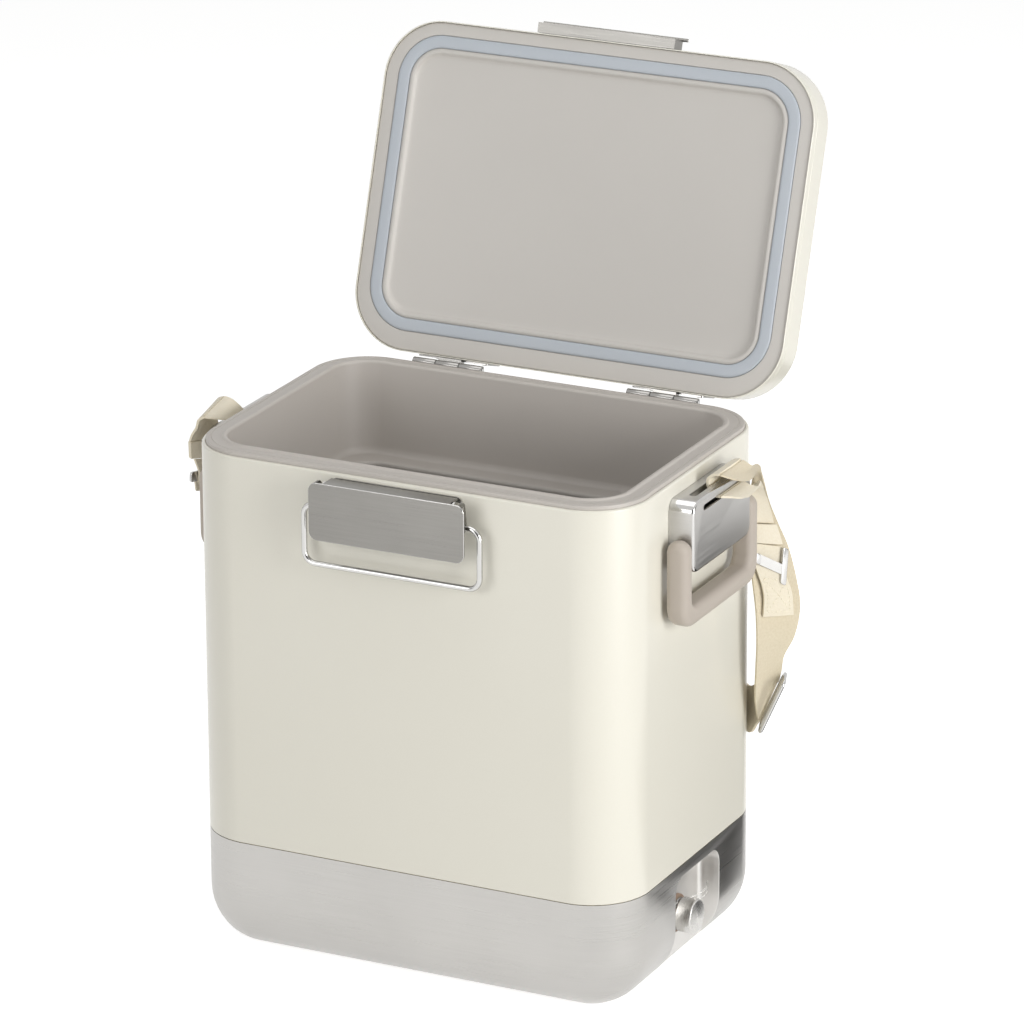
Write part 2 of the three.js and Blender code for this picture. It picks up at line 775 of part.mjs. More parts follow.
function tetherRing() {
  const ear = block(ringStart, ringEnd, 0, earEnd, earHeight - ringEarWidth / 2, earHeight + ringEarWidth / 2);
  const bore = rod('x', stemRadius + clearance, ringStart - cutOverrun, ringEnd + cutOverrun, [0, drainHeight],
    knobSides);
  return cut(join(rod('x', ringRadius, ringStart, ringEnd, [0, drainHeight], knobSides), ear), bore);
}

function drainPlug() {
  const face = ringEnd + clearance;
  const inner = face - stemLength;
  const groove = inner + 2 * oringRadius;
  const grooveEnd = groove + 2 * oringRadius + 2 * clearance;
  const neck = sealReach - oringRadius - oringFit;
  const end = sideFace + knobProud;
  return turned([[inner, 0], [inner, stemRadius], [groove, stemRadius], [groove, neck], [grooveEnd, neck],
    [grooveEnd, stemRadius], [face, stemRadius], [face, knobRadius - knobEdge], [face + knobEdge, knobRadius],
    [end - knobEdge, knobRadius], [end, knobRadius - knobEdge], [end, 0]], 0, drainHeight);
}

function plugSeal() {
  const middle = ringEnd + clearance - stemLength + 3 * oringRadius + clearance;
  const profile = [];
  for (let i = 0; i <= screwSides; i++) {
    const angle = 2 * Math.PI * i / screwSides;
    profile.push([middle + oringRadius * Math.cos(angle), sealReach + oringRadius * Math.sin(angle)]);
  }
  return turned(profile, 0, drainHeight, rodSides * 2);
}

// Tether: a thin clear loop from beside the ring's ear to the wall of the recess
function drainTether() {
  const x = (ringStart + ringEnd) / 2;
  const start = earEnd + 2 * clearance;
  const reach = recessCentreBack + recessWidth / 2 - 2 * clearance - start;
  const points = tetherShares.map(([along, out, up]) => new THREE.Vector3(
    x + out * reach, start + along * reach, earHeight + up * reach));
  return wire(new THREE.CatmullRomCurve3(points).getPoints(tetherShares.length * 3), tetherRadius, screwSides);
}

// Side handles, made for the right side and mirrored for the left
const gripPin = [sideFace + gripWallGap + gripThickness / 2, gripTop - gripThickness / 2];

function handleBracket() {
  const height = bracketTop - bracketBottom;
  const from = sideFace + clearance;
  const to = sideFace + bracketReach;
  const pan = (wall, start, end, edge) => roundedPlate('x', bracketWidth - 2 * wall, height - 2 * wall,
    bracketCornerRadius - wall, start, end, edge).translate(0, 0, (bracketTop + bracketBottom) / 2);
  const outer = common(pan(0, from - bracketReach, to, bracketEdge),
    block(from, to + cutOverrun, -bracketWidth, bracketWidth, bracketBottom - cutOverrun, bracketTop + cutOverrun));
  const inner = pan(bracketWall, from - cutOverrun, to - bracketWall, 0);
  const frontSlot = block(to - bracketWall - cutOverrun, to + cutOverrun, -slotHalfWidth, slotHalfWidth,
    slotBottom, slotBottom + slotHeight);
  const topSlot = block(sideFace + topSlotNear, sideFace + topSlotNear + topSlotWidth, -slotHalfWidth, slotHalfWidth,
    bracketTop - bracketWall - cutOverrun, bracketTop + cutOverrun);
  const pinHole = rod('y', gripPinRadius + clearance, -bracketWidth, bracketWidth, gripPin, rodSides);
  return cut(outer, inner, frontSlot, topSlot, pinHole);
}

function bracketBackPlate() {
  const from = sideFace + clearance;
  const to = from + backPlateThickness;
  const width = bracketWidth - 2 * (bracketWall + clearance);
  const plate = roundedPlate('x', width, backPlateHeight, bracketCornerRadius - bracketWall, from, to);
  return cut(plate.translate(0, 0, backPlateMiddle), ...screwHoles('x', bracketPlaces, from - cutOverrun, to + cutOverrun));
}

function bracketScrew(place) {
  return fastener('x', sideFace + backPlateThickness + 2 * clearance, 1, place, screwHead, screwRadius, screwLength);
}

function handlePin() {
  const half = bracketWidth / 2 + clearance + gripPinInLeg;
  return rod('y', gripPinRadius, -half, half, gripPin, rodSides);
}

function handleGrip() {
  const inner = gripHalfWidth - gripLegWidth;
  const barTop = gripBottom + gripBarHeight;
  const outer = gripHalfWidth;
  const low = gripBottom + gripOuterRadius;
  const high = barTop + gripInnerRadius;
  const shape = new THREE.Shape();
  shape.moveTo(-outer, gripTop);
  shape.lineTo(-outer, low);
  shape.absarc(-outer + gripOuterRadius, low, gripOuterRadius, Math.PI, Math.PI * 3 / 2);
  shape.absarc(outer - gripOuterRadius, low, gripOuterRadius, -Math.PI / 2, 0);
  shape.lineTo(outer, gripTop);
  shape.lineTo(inner, gripTop);
  shape.absarc(inner - gripInnerRadius, high, gripInnerRadius, 0, -Math.PI / 2, true);
  shape.absarc(-inner + gripInnerRadius, high, gripInnerRadius, -Math.PI / 2, -Math.PI, true);
  shape.lineTo(-inner, gripTop);
  const from = sideFace + gripWallGap;
  const bend = extrude('x', shape, from, from + gripThickness, gripEdge);
  const half = gripThickness / 2;
  const side = new THREE.Shape();
  side.moveTo(-half, gripBottom);
  side.lineTo(half, gripBottom);
  side.lineTo(half, gripPin[1]);
  side.absarc(0, gripPin[1], half, 0, Math.PI);
  const round = extrude('y', side, -outer, outer, 0, 2 * smallCornerSteps).translate(gripPin[0], 0, 0);
  const socketEnd = bracketWidth / 2 + gripPinInLeg + 2 * clearance;
  const socket = rod('y', gripPinRadius + clearance, -socketEnd, socketEnd, gripPin, rodSides);
  return cut(common(bend, round), socket);
}

// Latch: base plate with ears, pin, lever and bail on the body, keeper on the lid
function latchBase() {
  const near = frontFace - clearance;
  const plate = roundedPlate('y', latchBaseWidth, latchBaseHeight, latchEarRadius, near - latchBaseThickness, near);
  plate.translate(0, 0, latchBaseTop - latchBaseHeight / 2);
  const tab = new THREE.Shape();
  const [pinY, pinZ] = latchPin;
  tab.moveTo(near - latchBaseThickness / 2, pinZ - latchEarRadius);
  tab.lineTo(near - latchBaseThickness / 2, pinZ);
  tab.lineTo(pinY, pinZ + latchEarRadius);
  tab.absarc(pinY, pinZ, latchEarRadius, Math.PI / 2, Math.PI * 3 / 2);
  const half = latchBaseWidth / 2;
  const ears = [-half, half - latchEarThickness].map((from) => extrude('x', tab, from, from + latchEarThickness));
  const bore = rod('x', latchPinRadius + clearance, -latchBaseWidth, latchBaseWidth, latchPin);
  const holes = screwHoles('y', latchRivetPlaces, near - latchBaseThickness - cutOverrun, near + cutOverrun);
  return cut(join(plate, ...ears), bore, ...holes);
}

function frontRivet(place, plateThickness) {
  return fastener('y', frontFace - plateThickness - 2 * clearance, -1, place, rivetHead, rivetRadius, screwLength);
}

function latchPinRod() {
  const half = leverFlangeCentre + leverFlangeThickness / 2 + clearance;
  return rod('x', latchPinRadius, -half, half, latchPin);
}

function latchLever() {
  const front = frontFace - leverOut;
  const plate = roundedPlate('y', leverWidth, leverHeight, leverCornerRadius, front, front + leverThickness);
  plate.translate(0, 0, leverTop - leverHeight / 2);
  const foldHalf = latchBaseWidth / 2 - latchEarThickness - 2 * clearance;
  const fold = block(-foldHalf, foldHalf, front, front + leverFoldDepth, leverTop - leverThickness, leverTop);
  const behind = front + leverThickness / 2;
  const reach = latchEarRadius;
  const [pinY, pinZ] = latchPin;
  const [bailY, bailZ] = bailPivot;
  const tab = new THREE.Shape();
  tab.moveTo(behind, pinZ + reach);
  tab.lineTo(behind, bailZ - reach);
  tab.absarc(bailY, bailZ, reach, -Math.PI / 2, 0);
  tab.absarc(pinY, pinZ, reach, 0, Math.PI / 2);
  const flanges = [-1, 1].map((side) => {
    const from = side * leverFlangeCentre - leverFlangeThickness / 2;
    return extrude('x', tab, from, from + leverFlangeThickness);
  });
  const pinBore = rod('x', latchPinRadius + clearance, -leverWidth, leverWidth, latchPin);
  const bailBore = rod('x', bailWireRadius + clearance, -leverWidth, leverWidth, bailPivot);
  return cut(join(plate, fold, ...flanges), pinBore, bailBore);
}

function latchBail() {
  const half = bailWidth / 2 - bailWireRadius;
  const end = leverFlangeCentre - leverFlangeThickness / 2 - clearance;
  const [y, high] = bailPivot;
  const low = high - bailLength;
  const corners = [[-end, high], [-half, high], [-half, low], [half, low], [half, high], [end, high]];
  const path = filleted(corners.map(([x, z]) => new THREE.Vector3(x, y, z)), bailCornerRadius, smallCornerSteps);
  return wire(path, bailWireRadius, screwSides);
}

function latchKeeper() {
  const near = frontFace - clearance;
  const far = frontFace - keeperReach;
  const top = keeperBottom + keeperHeight;
  const saddle = keeperBottom + keeperSaddle;
  const half = keeperWidth / 2;
  const back = block(-half, half, near - keeperThickness, near, keeperBottom, saddle);
  const floor = block(-half, half, far, near, keeperBottom, keeperBottom + keeperThickness);
  const front = block(-half, half, far, far + keeperThickness, keeperBottom, top);
  const lip = block(-half - keeperFlare, half + keeperFlare, far - keeperLip, far + keeperThickness,
    top - keeperThickness, top);
  const ends = [-half, half - keeperThickness].map((from) =>
    block(from, from + keeperThickness, far, near, keeperBottom, saddle));
  const holes = screwHoles('y', keeperRivetPlaces, near - keeperThickness - clearance, near + cutOverrun);
  return cut(join(back, floor, front, lip, ...ends), ...holes);
}

// Hinges: two butt hinges on the back. A leaf carries every second knuckle, a bridge to each of them
// and its three screws.
function hingeLeaf(centre, first, low, bridgeLow, bridgeHigh, middle) {
  const near = backFace + clearance;
  const length = hingeLength / knuckleCount;
  const parts = [block(centre - hingeLength / 2, centre + hingeLength / 2, near, near + leafThickness, low,
    low + leafHeight)];
  for (let i = first; i < knuckleCount; i += 2) {
    const from = centre - hingeLength / 2 + i * length + clearance;
    const to = from + length - 2 * clearance;
    parts.push(rod('x', barrelRadius, from, to, hingeAxis, rodSides));
    parts.push(block(from, to, near, hingeAxis[0], bridgeLow, bridgeHigh));
  }
  const bore = rod('x', hingePinRadius + clearance, centre - hingeLength, centre + hingeLength, hingeAxis);
  const screws = hingeScrewPlaces(centre, middle).map((place) =>
    fastener('y', near + leafThickness, 1, place, screwHead, screwRadius, screwLength));
  return join(cut(join(...parts), bore), ...screws);
}

function hingeBodyLeaf(centre) {
  return hingeLeaf(centre, 0, bodyLeafTop - leafHeight, bodyLeafTop - leafThickness, hingeAxisHeight, bodyLeafMiddle);
}

function hingeLidLeaf(centre) {
  return hingeLeaf(centre, 1, lidLeafBottom, hingeAxisHeight + barrelRadius / 2, lidLeafBottom + leafThickness,
    lidLeafMiddle);
}

function hingePin(centre) {
  return rod('x', hingePinRadius, centre - hingeLength / 2, centre + hingeLength / 2, hingeAxis);
}

// Lid, drawn closed: painted shell, foam, plastic liner and gasket
const borderHeight = lidBottom + lidLipDepth;
const gasketLow = borderHeight - gasketProud;
const linerTop = borderHeight + lidPanelDepth + lidLinerThickness;

function lidRings(inset, low, high) {
  const rings = [bodyRing(inset, low)];
  for (let i = 0; i <= lidEdgeSteps; i++) {
    const angle = (i / lidEdgeSteps) * Math.PI / 2;
    rings.push(bodyRing(inset + lidEdgeRadius * (1 - Math.cos(angle)), high - lidEdgeRadius * (1 - Math.sin(angle))));
  }
  return rings;
}

function lidShell() {
  const inside = lidRings(sheetThickness, lidBottom, lidTop - sheetThickness);
  return cut(loft([...inside.reverse(), ...lidRings(0, lidBottom, lidTop)]), ...lidHoles());
}

function gasketRing(inset, z) {
  return ring(gasketOuterWidth - 2 * inset, gasketOuterDepth - 2 * inset, gasketCornerRadius - inset, z,
    gasketCentreBack);
}

function lidLiner() {
  const channel = gasketLow + gasketThickness + clearance;
  return cut(loft([
    gasketRing(gasketWidth + lidBeadWidth + rimGap, borderHeight + lidPanelDepth),
    gasketRing(gasketWidth + lidBeadWidth, borderHeight),
    gasketRing(gasketWidth, borderHeight),
    gasketRing(gasketWidth, channel),
    gasketRing(0, channel),
    gasketRing(0, borderHeight),
    bodyRing(foamSkin, borderHeight),
    bodyRing(foamSkin, linerTop),
  ]), ...lidHoles());
}

function lidFoam() {
  return cut(loft(lidRings(foamSkin, linerTop + clearance, lidTop - foamSkin)), ...lidHoles());
}

function lidGasket() {
  const high = gasketLow + gasketThickness;
  return loft([
    gasketRing(clearance, high),
    gasketRing(clearance, gasketLow + rimGap),
    gasketRing(clearance + rimGap, gasketLow),
    gasketRing(gasketWidth - clearance - rimGap, gasketLow),
    gasketRing(gasketWidth - clearance, gasketLow + rimGap),
    gasketRing(gasketWidth - clearance, high),
  ].reverse(), true);
}

// Shoulder strap. Its places come from the tables above; left-hand pieces are mirrored at the end.
function alongParts(share, nearShare, near, whole) {
  const size = Math.abs(share);
  const past = Math.max(size - nearShare, 0) / (1 - nearShare);
  return Math.sign(share) * (Math.min(size / nearShare, 1) * near + past * (whole - near));
}

function strapPlace([out, back, up]) {
  return new THREE.Vector3(
    sideFace + alongParts(out, nearReachShare, bracketReach, strapReach),
    alongParts(back, nearDepthShare, gripHalfWidth, backFace),
    bracketTop + alongParts(up, nearFallShare, gripDrop, strapFall),
  );
}

function stationsOf(table) {
  return table.map((edges) => edges.map(strapPlace));
}

// The loop of webbing goes in at the plate's slot, up through the top slot and over. On the right it falls
// away as the long drop, with the sewn tail at the plate's slot. On the left these two change places.
const slotHeightMiddle = slotBottom + slotHeight / 2;
const plateOut = sideFace + bracketReach;
const topSlotOut = sideFace + topSlotNear + topSlotWidth / 2;
const archTop = bracketTop + archRise;
const slotPath = [[plateOut + clearance, slotHeightMiddle], [plateOut - 2 * bracketWall, slotHeightMiddle],
  [topSlotOut + webThickness, slotHeightMiddle + webThickness], [topSlotOut, bracketTop - bracketWall]];
const archPath = [[topSlotOut, bracketTop + archRise / 2],
  [(topSlotOut + plateOut) / 2, archTop - webThickness / 2], [plateOut - clearance, archTop]];
const archExit = [[plateOut + 3 * clearance, archTop - clearance]];
const slotExit = [[plateOut + 4 * clearance, slotHeightMiddle]];

function level(path, [front, rear]) {
  return path.map(([x, z]) => [new THREE.Vector3(x, front, z), new THREE.Vector3(x, rear, z)]);
}

// A flat frame of bars: its length runs between two edge places and its depth towards a third direction
function flatFrame(front, rear, down, thickness, bars) {
  const along = rear.clone().sub(front).normalize();
  const fall = down.clone().addScaledVector(along, -down.dot(along)).normalize();
  const out = along.clone().cross(fall).normalize();
  const middle = front.clone().add(rear).divideScalar(2);
  const place = new THREE.Matrix4().makeBasis(along, fall, out).setPosition(middle);
  const parts = bars.map(([u0, u1, v0, v1]) => block(u0, u1, v0, v1, -thickness / 2, thickness / 2));
  return join(...parts).applyMatrix4(place);
}

function strapHook(table) {
  const [front, rear] = table.map(strapPlace);
  const half = hookLength / 2;
  return flatFrame(front, rear, new THREE.Vector3(...hookLeanShares), hookThickness, [
    [-half, -half + hookBar, -hookLugReach, hookLugReach],
    [half - hookBar, half, -hookUprightRise, hookUprightFall],
    [-half, half, -hookBar / 2, hookBar / 2],
  ]);
}

function strapSlider() {
  const half = sliderLength / 2;
  const side = sliderWidth / 2;
  const [front, rear] = sliderShares.map(strapPlace);
  return flatFrame(front, rear, new THREE.Vector3(...sliderLeanShares), sliderThickness, [
    [-half, half, -side, -side + sliderBar],
    [-half, half, side - sliderBar, side],
    [-half, half, -sliderBar / 2, sliderBar / 2],
    [-half, -half + sliderBar, -side, side],
    [half - sliderBar, half, -side, side],
  ]);
}

// The strap's run behind the cooler, on edge: from the slider round the two rear corners and across the back
function backStations() {
  const reach = bodyCornerRadius + strapBackOffset;
  const centreX = sideFace - bodyCornerRadius;
  const centreY = backFace - bodyCornerRadius;
  const angles = backTurnShares.map((share) => share * Math.PI / 2);
  const right = angles.map((angle) => [centreX + reach * Math.cos(angle), centreY + reach * Math.sin(angle)]);
  const flat = backSpanShares.map((share) => [share * centreX, backFace + strapBackOffset]);
  const left = [...right].reverse().map(([x, y]) => [-x, y]);
  const run = [...right, ...flat, ...left].map(([x, y]) => {
    const drop = strapSag * Math.cos(x / sideFace * Math.PI / 2);
    const low = strapBackHeight - drop - strapWidth / 2;
    return [new THREE.Vector3(x, y, low), new THREE.Vector3(x, y, low + strapWidth)];
  });
  return [...stationsOf(backStartShares), ...run];
}

const rightEdges = [-slotHalfWidth / 6, slotHalfWidth - 2 * clearance];
const leftEdges = [-slotHalfWidth + 2 * clearance, -slotHalfWidth / 8];
const straps = {
  right: {
    loop: level([...slotPath, ...archPath], rightEdges),
    drop: [...level(archExit, rightEdges), ...stationsOf(dropRightShares)],
    tail: [...level(slotExit, rightEdges), ...stationsOf(tailRightShares)],
    sleeve: stationsOf(sleeveRightShares),
    link: stationsOf(linkRightShares),
    hook: hookRightShares,
    patch: stationsOf(patchRightShares),
  },
  left: {
    loop: [...level(slotPath, leftEdges), ...stationsOf(loopLeftShares)],
    drop: [...level(slotExit, leftEdges), ...stationsOf(dropLeftShares)],
    tail: stationsOf(tailLeftShares),
    sleeve: stationsOf(sleeveLeftShares),
    link: stationsOf(linkLeftShares),
    hook: hookLeftShares,
    patch: stationsOf(patchLeftShares),
  },
};

// Assembly: every piece in its place, the lid's own pieces turned open about the hinge
const cooler = new THREE.Group();
cooler.name = 'steel_cooler';

function node(name, geometry, look) {
  const mesh = new THREE.Mesh(plain(geometry), new THREE.MeshStandardMaterial(look));
  mesh.name = name;
  cooler.add(mesh);
}

function lidNode(name, geometry, look) {
  const open = new THREE.Matrix4().makeRotationX(-THREE.MathUtils.degToRad(lidOpenAngle));
  const moved = plain(geometry).translate(0, -hingeAxisBack, -hingeAxisHeight).applyMatrix4(open);
  node(name, moved.translate(0, hingeAxisBack, hingeAxisHeight), look);
}

const sides = [['right', 1], ['left', -1]];

node('base_pad', basePad(), blackRubber);
node('base_tray', baseTray(), brushedSteel);
node('outer_shell', outerShell(), creamPaint);
node('foam_core', foamCore(), foam);
node('inner_tub', innerTub(), taupePlastic);
node('drain_spout', drainSpout(), taupePlastic);
node('drain_washer', drainWasher(), drainRubber);
node('drain_tether', drainTether(), clearPlastic);
node('tether_ring', tetherRing(), clearPlastic);
node('drain_plug', drainPlug(), polishedSteel);
node('plug_seal', plugSeal(), blackRubber);

for (const [name, side] of sides) {
  node(`handle_bracket_${name}`, sided(handleBracket(), side), brushedSteel);
  node(`bracket_back_plate_${name}`, sided(bracketBackPlate(), side), brushedSteel);
  node(`handle_pin_${name}`, sided(handlePin(), side), polishedSteel);
  node(`handle_grip_${name}`, sided(handleGrip(), side), taupeGrip);
  node(`hinge_body_leaf_${name}`, hingeBodyLeaf(side * hingeCentre), polishedSteel);
  node(`hinge_pin_${name}`, hingePin(side * hingeCentre), polishedSteel);
  lidNode(`hinge_lid_leaf_${name}`, hingeLidLeaf(side * hingeCentre), polishedSteel);
  bracketPlaces.forEach((place, i) => {
    node(`bracket_screw_${name}_${i + 1}`, sided(bracketScrew(place), side), polishedSteel);
  });
}

node('latch_base', latchBase(), brushedSteel);
node('latch_pin', latchPinRod(), polishedSteel);
node('latch_lever', latchLever(), brushedSteel);
node('latch_bail', latchBail(), polishedSteel);
lidNode('latch_keeper', latchKeeper(), brushedSteel);
for (const i of [0, 1]) {
  node(`latch_rivet_${i + 1}`, frontRivet(latchRivetPlaces[i], latchBaseThickness), polishedSteel);
  lidNode(`keeper_rivet_${i + 1}`, frontRivet(keeperRivetPlaces[i], keeperThickness), polishedSteel);
}

lidNode('lid_shell', lidShell(), creamPaint);
lidNode('lid_foam', lidFoam(), foam);
lidNode('lid_liner', lidLiner(), taupePlastic);
lidNode('lid_gasket', lidGasket(), gasketRubber);

for (const [name, side] of sides) {
  const strap = straps[name];
  node(`strap_loop_${name}`, sided(ribbon(strap.loop), side), webbing);
  node(`strap_drop_${name}`, sided(ribbon(strap.drop), side), webbing);
  node(`strap_tail_${name}`, sided(ribbon(strap.tail), side), webbing);
  node(`strap_sleeve_${name}`, sided(ribbon(strap.sleeve, sleeveThickness), side), webbing);
  node(`strap_link_${name}`, sided(ribbon(strap.link), side), webbing);
  node(`strap_hook_${name}`, sided(strapHook(strap.hook), side), polishedSteel);
  node(`strap_patch_${name}`, sided(ribbon(strap.patch), side), webbing);
}
node('strap_slider', strapSlider(), polishedSteel);
node('strap_back', ribbon(backStations()), webbing);

export default cooler;
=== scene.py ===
# %% [markdown]
# A hard-sided steel cooler with its lid open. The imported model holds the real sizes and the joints, and this
# lesson dresses it: large bent sheets and mouldings are remade with smooth corners, the strap is remade as
# woven webbing, and every other piece keeps its shape and gets a finish. All sizes below are in millimetres
# in the cooler's own frame, and a piece is scaled to metres once, when it is made.

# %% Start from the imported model
import json
import math

import bmesh
import bpy
from mathutils import Matrix, Vector


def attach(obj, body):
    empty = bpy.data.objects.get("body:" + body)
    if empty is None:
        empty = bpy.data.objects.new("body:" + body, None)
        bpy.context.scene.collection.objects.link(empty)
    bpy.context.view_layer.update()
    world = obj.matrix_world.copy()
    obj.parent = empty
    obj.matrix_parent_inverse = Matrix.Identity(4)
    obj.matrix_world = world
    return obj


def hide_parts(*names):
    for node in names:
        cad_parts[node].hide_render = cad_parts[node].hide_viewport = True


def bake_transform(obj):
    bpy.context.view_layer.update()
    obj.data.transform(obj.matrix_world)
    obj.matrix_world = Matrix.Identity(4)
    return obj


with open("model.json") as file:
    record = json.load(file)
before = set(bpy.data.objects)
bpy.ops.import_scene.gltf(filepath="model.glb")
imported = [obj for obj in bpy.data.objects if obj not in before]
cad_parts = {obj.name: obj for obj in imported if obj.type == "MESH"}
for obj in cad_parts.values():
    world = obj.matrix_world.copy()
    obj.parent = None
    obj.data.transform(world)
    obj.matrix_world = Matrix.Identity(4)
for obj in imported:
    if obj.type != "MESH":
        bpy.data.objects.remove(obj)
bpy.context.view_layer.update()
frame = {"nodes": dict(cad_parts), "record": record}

# %% [markdown]
# The camera stands where the photographer stood: to the front right and a little above the rim, far back with
# a long lens, so that upright edges stay upright. Its angles were fitted to the corners of the body. A long
# lens is set by its focal length on a 36 mm sensor, and the small shift frames the object as the photo does.

# %% Camera
def aim(azimuth, elevation, roll):
    """Unit vectors to the camera's right, up and back for an angle round the object and one above the floor."""
    a, e = math.radians(azimuth), math.radians(elevation)
    back = Vector((math.sin(a) * math.cos(e), -math.cos(a) * math.cos(e), math.sin(e)))
    right = (-back).cross(Vector((0, 0, 1))).normalized()
    up = right.cross(-back)
    turn = Matrix.Rotation(math.radians(roll), 3, back)
    return turn @ right, turn @ up, back


right, up, back = aim(26.41637, 19.29453, -0.31272)
view_point = Vector((0.029568, 0, 0.354930))
facing = Matrix((right, up, back)).transposed().to_4x4()
distance = 4.77973
camera_data = bpy.data.cameras.new("camera")
camera_data.sensor_width = 36
camera_data.lens = 224.28
camera_data.shift_x = 0.00028
camera_data.shift_y = -0.01216
camera_data.clip_end = 100
camera = bpy.data.objects.new("camera", camera_data)
camera.matrix_world = Matrix.Translation(view_point + back * distance) @ facing
bpy.context.scene.collection.objects.link(camera)
bpy.context.scene.camera = camera
bpy.context.scene.view_settings.view_transform = "Standard"
print("camera", [round(v, 3) for v in camera.matrix_world.translation])

# %% [markdown]
# Materials are built from nodes. One function adds a node with its settings and links, one turns a colour as a
# screen shows it into the linear numbers that the renderer works with, and one joins two colours, a roughness
# and a relief into a surface. The last makes the kind of finish that most pieces share: two close colours that
# drift into each other and a fine grain that moves the roughness and lifts the surface, all on the piece's own
# coordinates, so that the pattern stays put when a joint moves.

# %% Nodes, colours and the common finish
def add(tree, kind, settings=None, links=None):
    node = tree.nodes.new("ShaderNode" + kind)
    for key, value in (settings or {}).items():
        if isinstance(key, int) or key in node.inputs:
            node.inputs[key].default_value = value
        else:
            setattr(node, key, value)
    for key, output in (links or {}).items():
        tree.links.new(output, node.inputs[key])
    return node


def colour(code):
    """A hex colour as seen on a screen, as linear numbers."""
    channels = [int(code[i:i + 2], 16) / 255 for i in (1, 3, 5)]
    return [c / 12.92 if c <= 0.04045 else ((c + 0.055) / 1.055) ** 2.4 for c in channels] + [1]


def principled(material):
    return next(node for node in material.node_tree.nodes if node.type == "BSDF_PRINCIPLED")


def blank_material(name):
    material = bpy.data.materials.new(name)
    material.use_nodes = True
    tree = material.node_tree
    tree.nodes.clear()
    return material, tree


def add_surface(tree, settings, links=None):
    surface = add(tree, "BsdfPrincipled", settings, links)
    add(tree, "OutputMaterial", {}, {"Surface": surface.outputs[0]})


def dress(tree, light, dark, share, dull, relief, height, settings):
    """A surface of two colours mixed by share, with its roughness from dull and its relief from height."""
    mixed = add(tree, "Mix", {"data_type": "RGBA", 6: colour(dark), 7: colour(light)}, {0: share.outputs[0]})
    bump = add(tree, "Bump", relief, {"Height": height})
    add_surface(tree, settings, {"Base Color": mixed.outputs[2], "Roughness": dull.outputs[0],
                                 "Normal": bump.outputs[0]})


def finish(name, light, dark, grain, roughness, metallic=0.0, drift=60, lift=0.02, sockets=None):
    """A solid finish. grain is the size of its texture along X, Y and Z and drift that of its colour patches,
    in millimetres; roughness is (smoothest, roughest) and lift the height of the grain."""
    material, tree = blank_material(name)
    place = add(tree, "TexCoord").outputs["Object"]
    scaled = add(tree, "Mapping", {"Scale": [1000 / size for size in grain]}, {"Vector": place})
    fine = add(tree, "TexNoise", {"Scale": 1.0, "Detail": 3.0, "Roughness": 0.55},
               {"Vector": scaled.outputs[0]})
    patch = add(tree, "TexNoise", {"Scale": 1000 / drift, "Detail": 2.0}, {"Vector": place})
    both = add(tree, "Math", {"operation": "MULTIPLY_ADD", 1: 0.5, 2: 0.0}, {0: fine.outputs["Fac"]})
    share = add(tree, "Math", {"operation": "MULTIPLY_ADD", 1: 0.5},
                {0: patch.outputs["Fac"], 2: both.outputs[0]})
    dull = add(tree, "MapRange", {"From Min": 0.3, "From Max": 0.7, "To Min": roughness[0],
                                  "To Max": roughness[1]}, {"Value": fine.outputs["Fac"]})
    dress(tree, light, dark, share, dull, {"Strength": 1.0, "Distance": lift / 1000}, fine.outputs["Fac"],
          {"Metallic": metallic, **(sockets or {})})
    return material


# %% [markdown]
# The body and the lid are sheet steel with a baked cream powder coat. Powder flows into a faint orange peel
# about a millimetre and a half across, and a smooth clear skin on top of it gives the long soft highlights.
# The base, the lever and the brackets are bare stainless steel, brushed along their length: the brush leaves
# lines that are long one way and under a millimetre the other, drawn here a little coarser so that they show.
# The bail, hook and slider are polished stainless steel with only faint smears, and the hinges are a little
# duller. The knob is turned, so its brush lines run round the drain's line.

# %% Paint and steel
powder_coat = finish("powder_coated_steel", "#e9e6da", "#e4e0d2", (1.5, 1.5, 1.5), (0.34, 0.42), lift=0.006,
                     drift=140, sockets={"Coat Weight": 0.5, "Coat Roughness": 0.16})
brushed_around, brushed_plate, brushed_lever, pressed_steel, polished_steel, hinge_steel, turned_steel = (
    finish(name, light, dark, grain, roughness, metallic=1, lift=lift, drift=drift, sockets=sockets)
    for name, light, dark, grain, roughness, lift, drift, sockets in (
        ("brushed_stainless_sheet", "#c3c1be", "#a6a4a1", (120, 120, 0.6), (0.26, 0.38), 0.004, 90, None),
        ("brushed_stainless_plate", "#cfcdca", "#aeaca9", (55, 55, 0.8), (0.28, 0.42), 0.006, 60, None),
        ("brushed_stainless_lever", "#9b9995", "#7b7975", (55, 55, 0.8), (0.26, 0.4), 0.006, 60, None),
        ("pressed_stainless_recess", "#dcdad7", "#cfcdca", (1.5, 30, 30), (0.34, 0.46), 0.003, 40, None),
        ("polished_stainless", "#cbcac8", "#bcbbb9", (6, 6, 6), (0.08, 0.15), 0.002, 25, None),
        ("burnished_stainless", "#a9a7a4", "#8f8d8a", (40, 3, 3), (0.16, 0.26), 0.002, 12, None),
        ("turned_stainless_knob", "#d2d1ce", "#c2c0bd", (0.7, 9, 9), (0.2, 0.3), 0.002, 25,
         {"Anisotropic": 0.7})))


def turn_about_drain(material):
    """Lays the brush lines of a lathe round the drain's line, so that highlights fan out from its middle."""
    tree, surface = material.node_tree, principled(material)
    place = add(tree, "TexCoord").outputs["Object"]
    out = add(tree, "VectorMath", {"operation": "SUBTRACT", 1: (0, 0, 0.0445)}, {0: place})
    around = add(tree, "VectorMath", {"operation": "CROSS_PRODUCT", 1: (1, 0, 0)}, {0: out.outputs[0]})
    tree.links.new(around.outputs[0], surface.inputs["Tangent"])


turn_about_drain(turned_steel)

print(len(bpy.data.materials), "metal finishes")

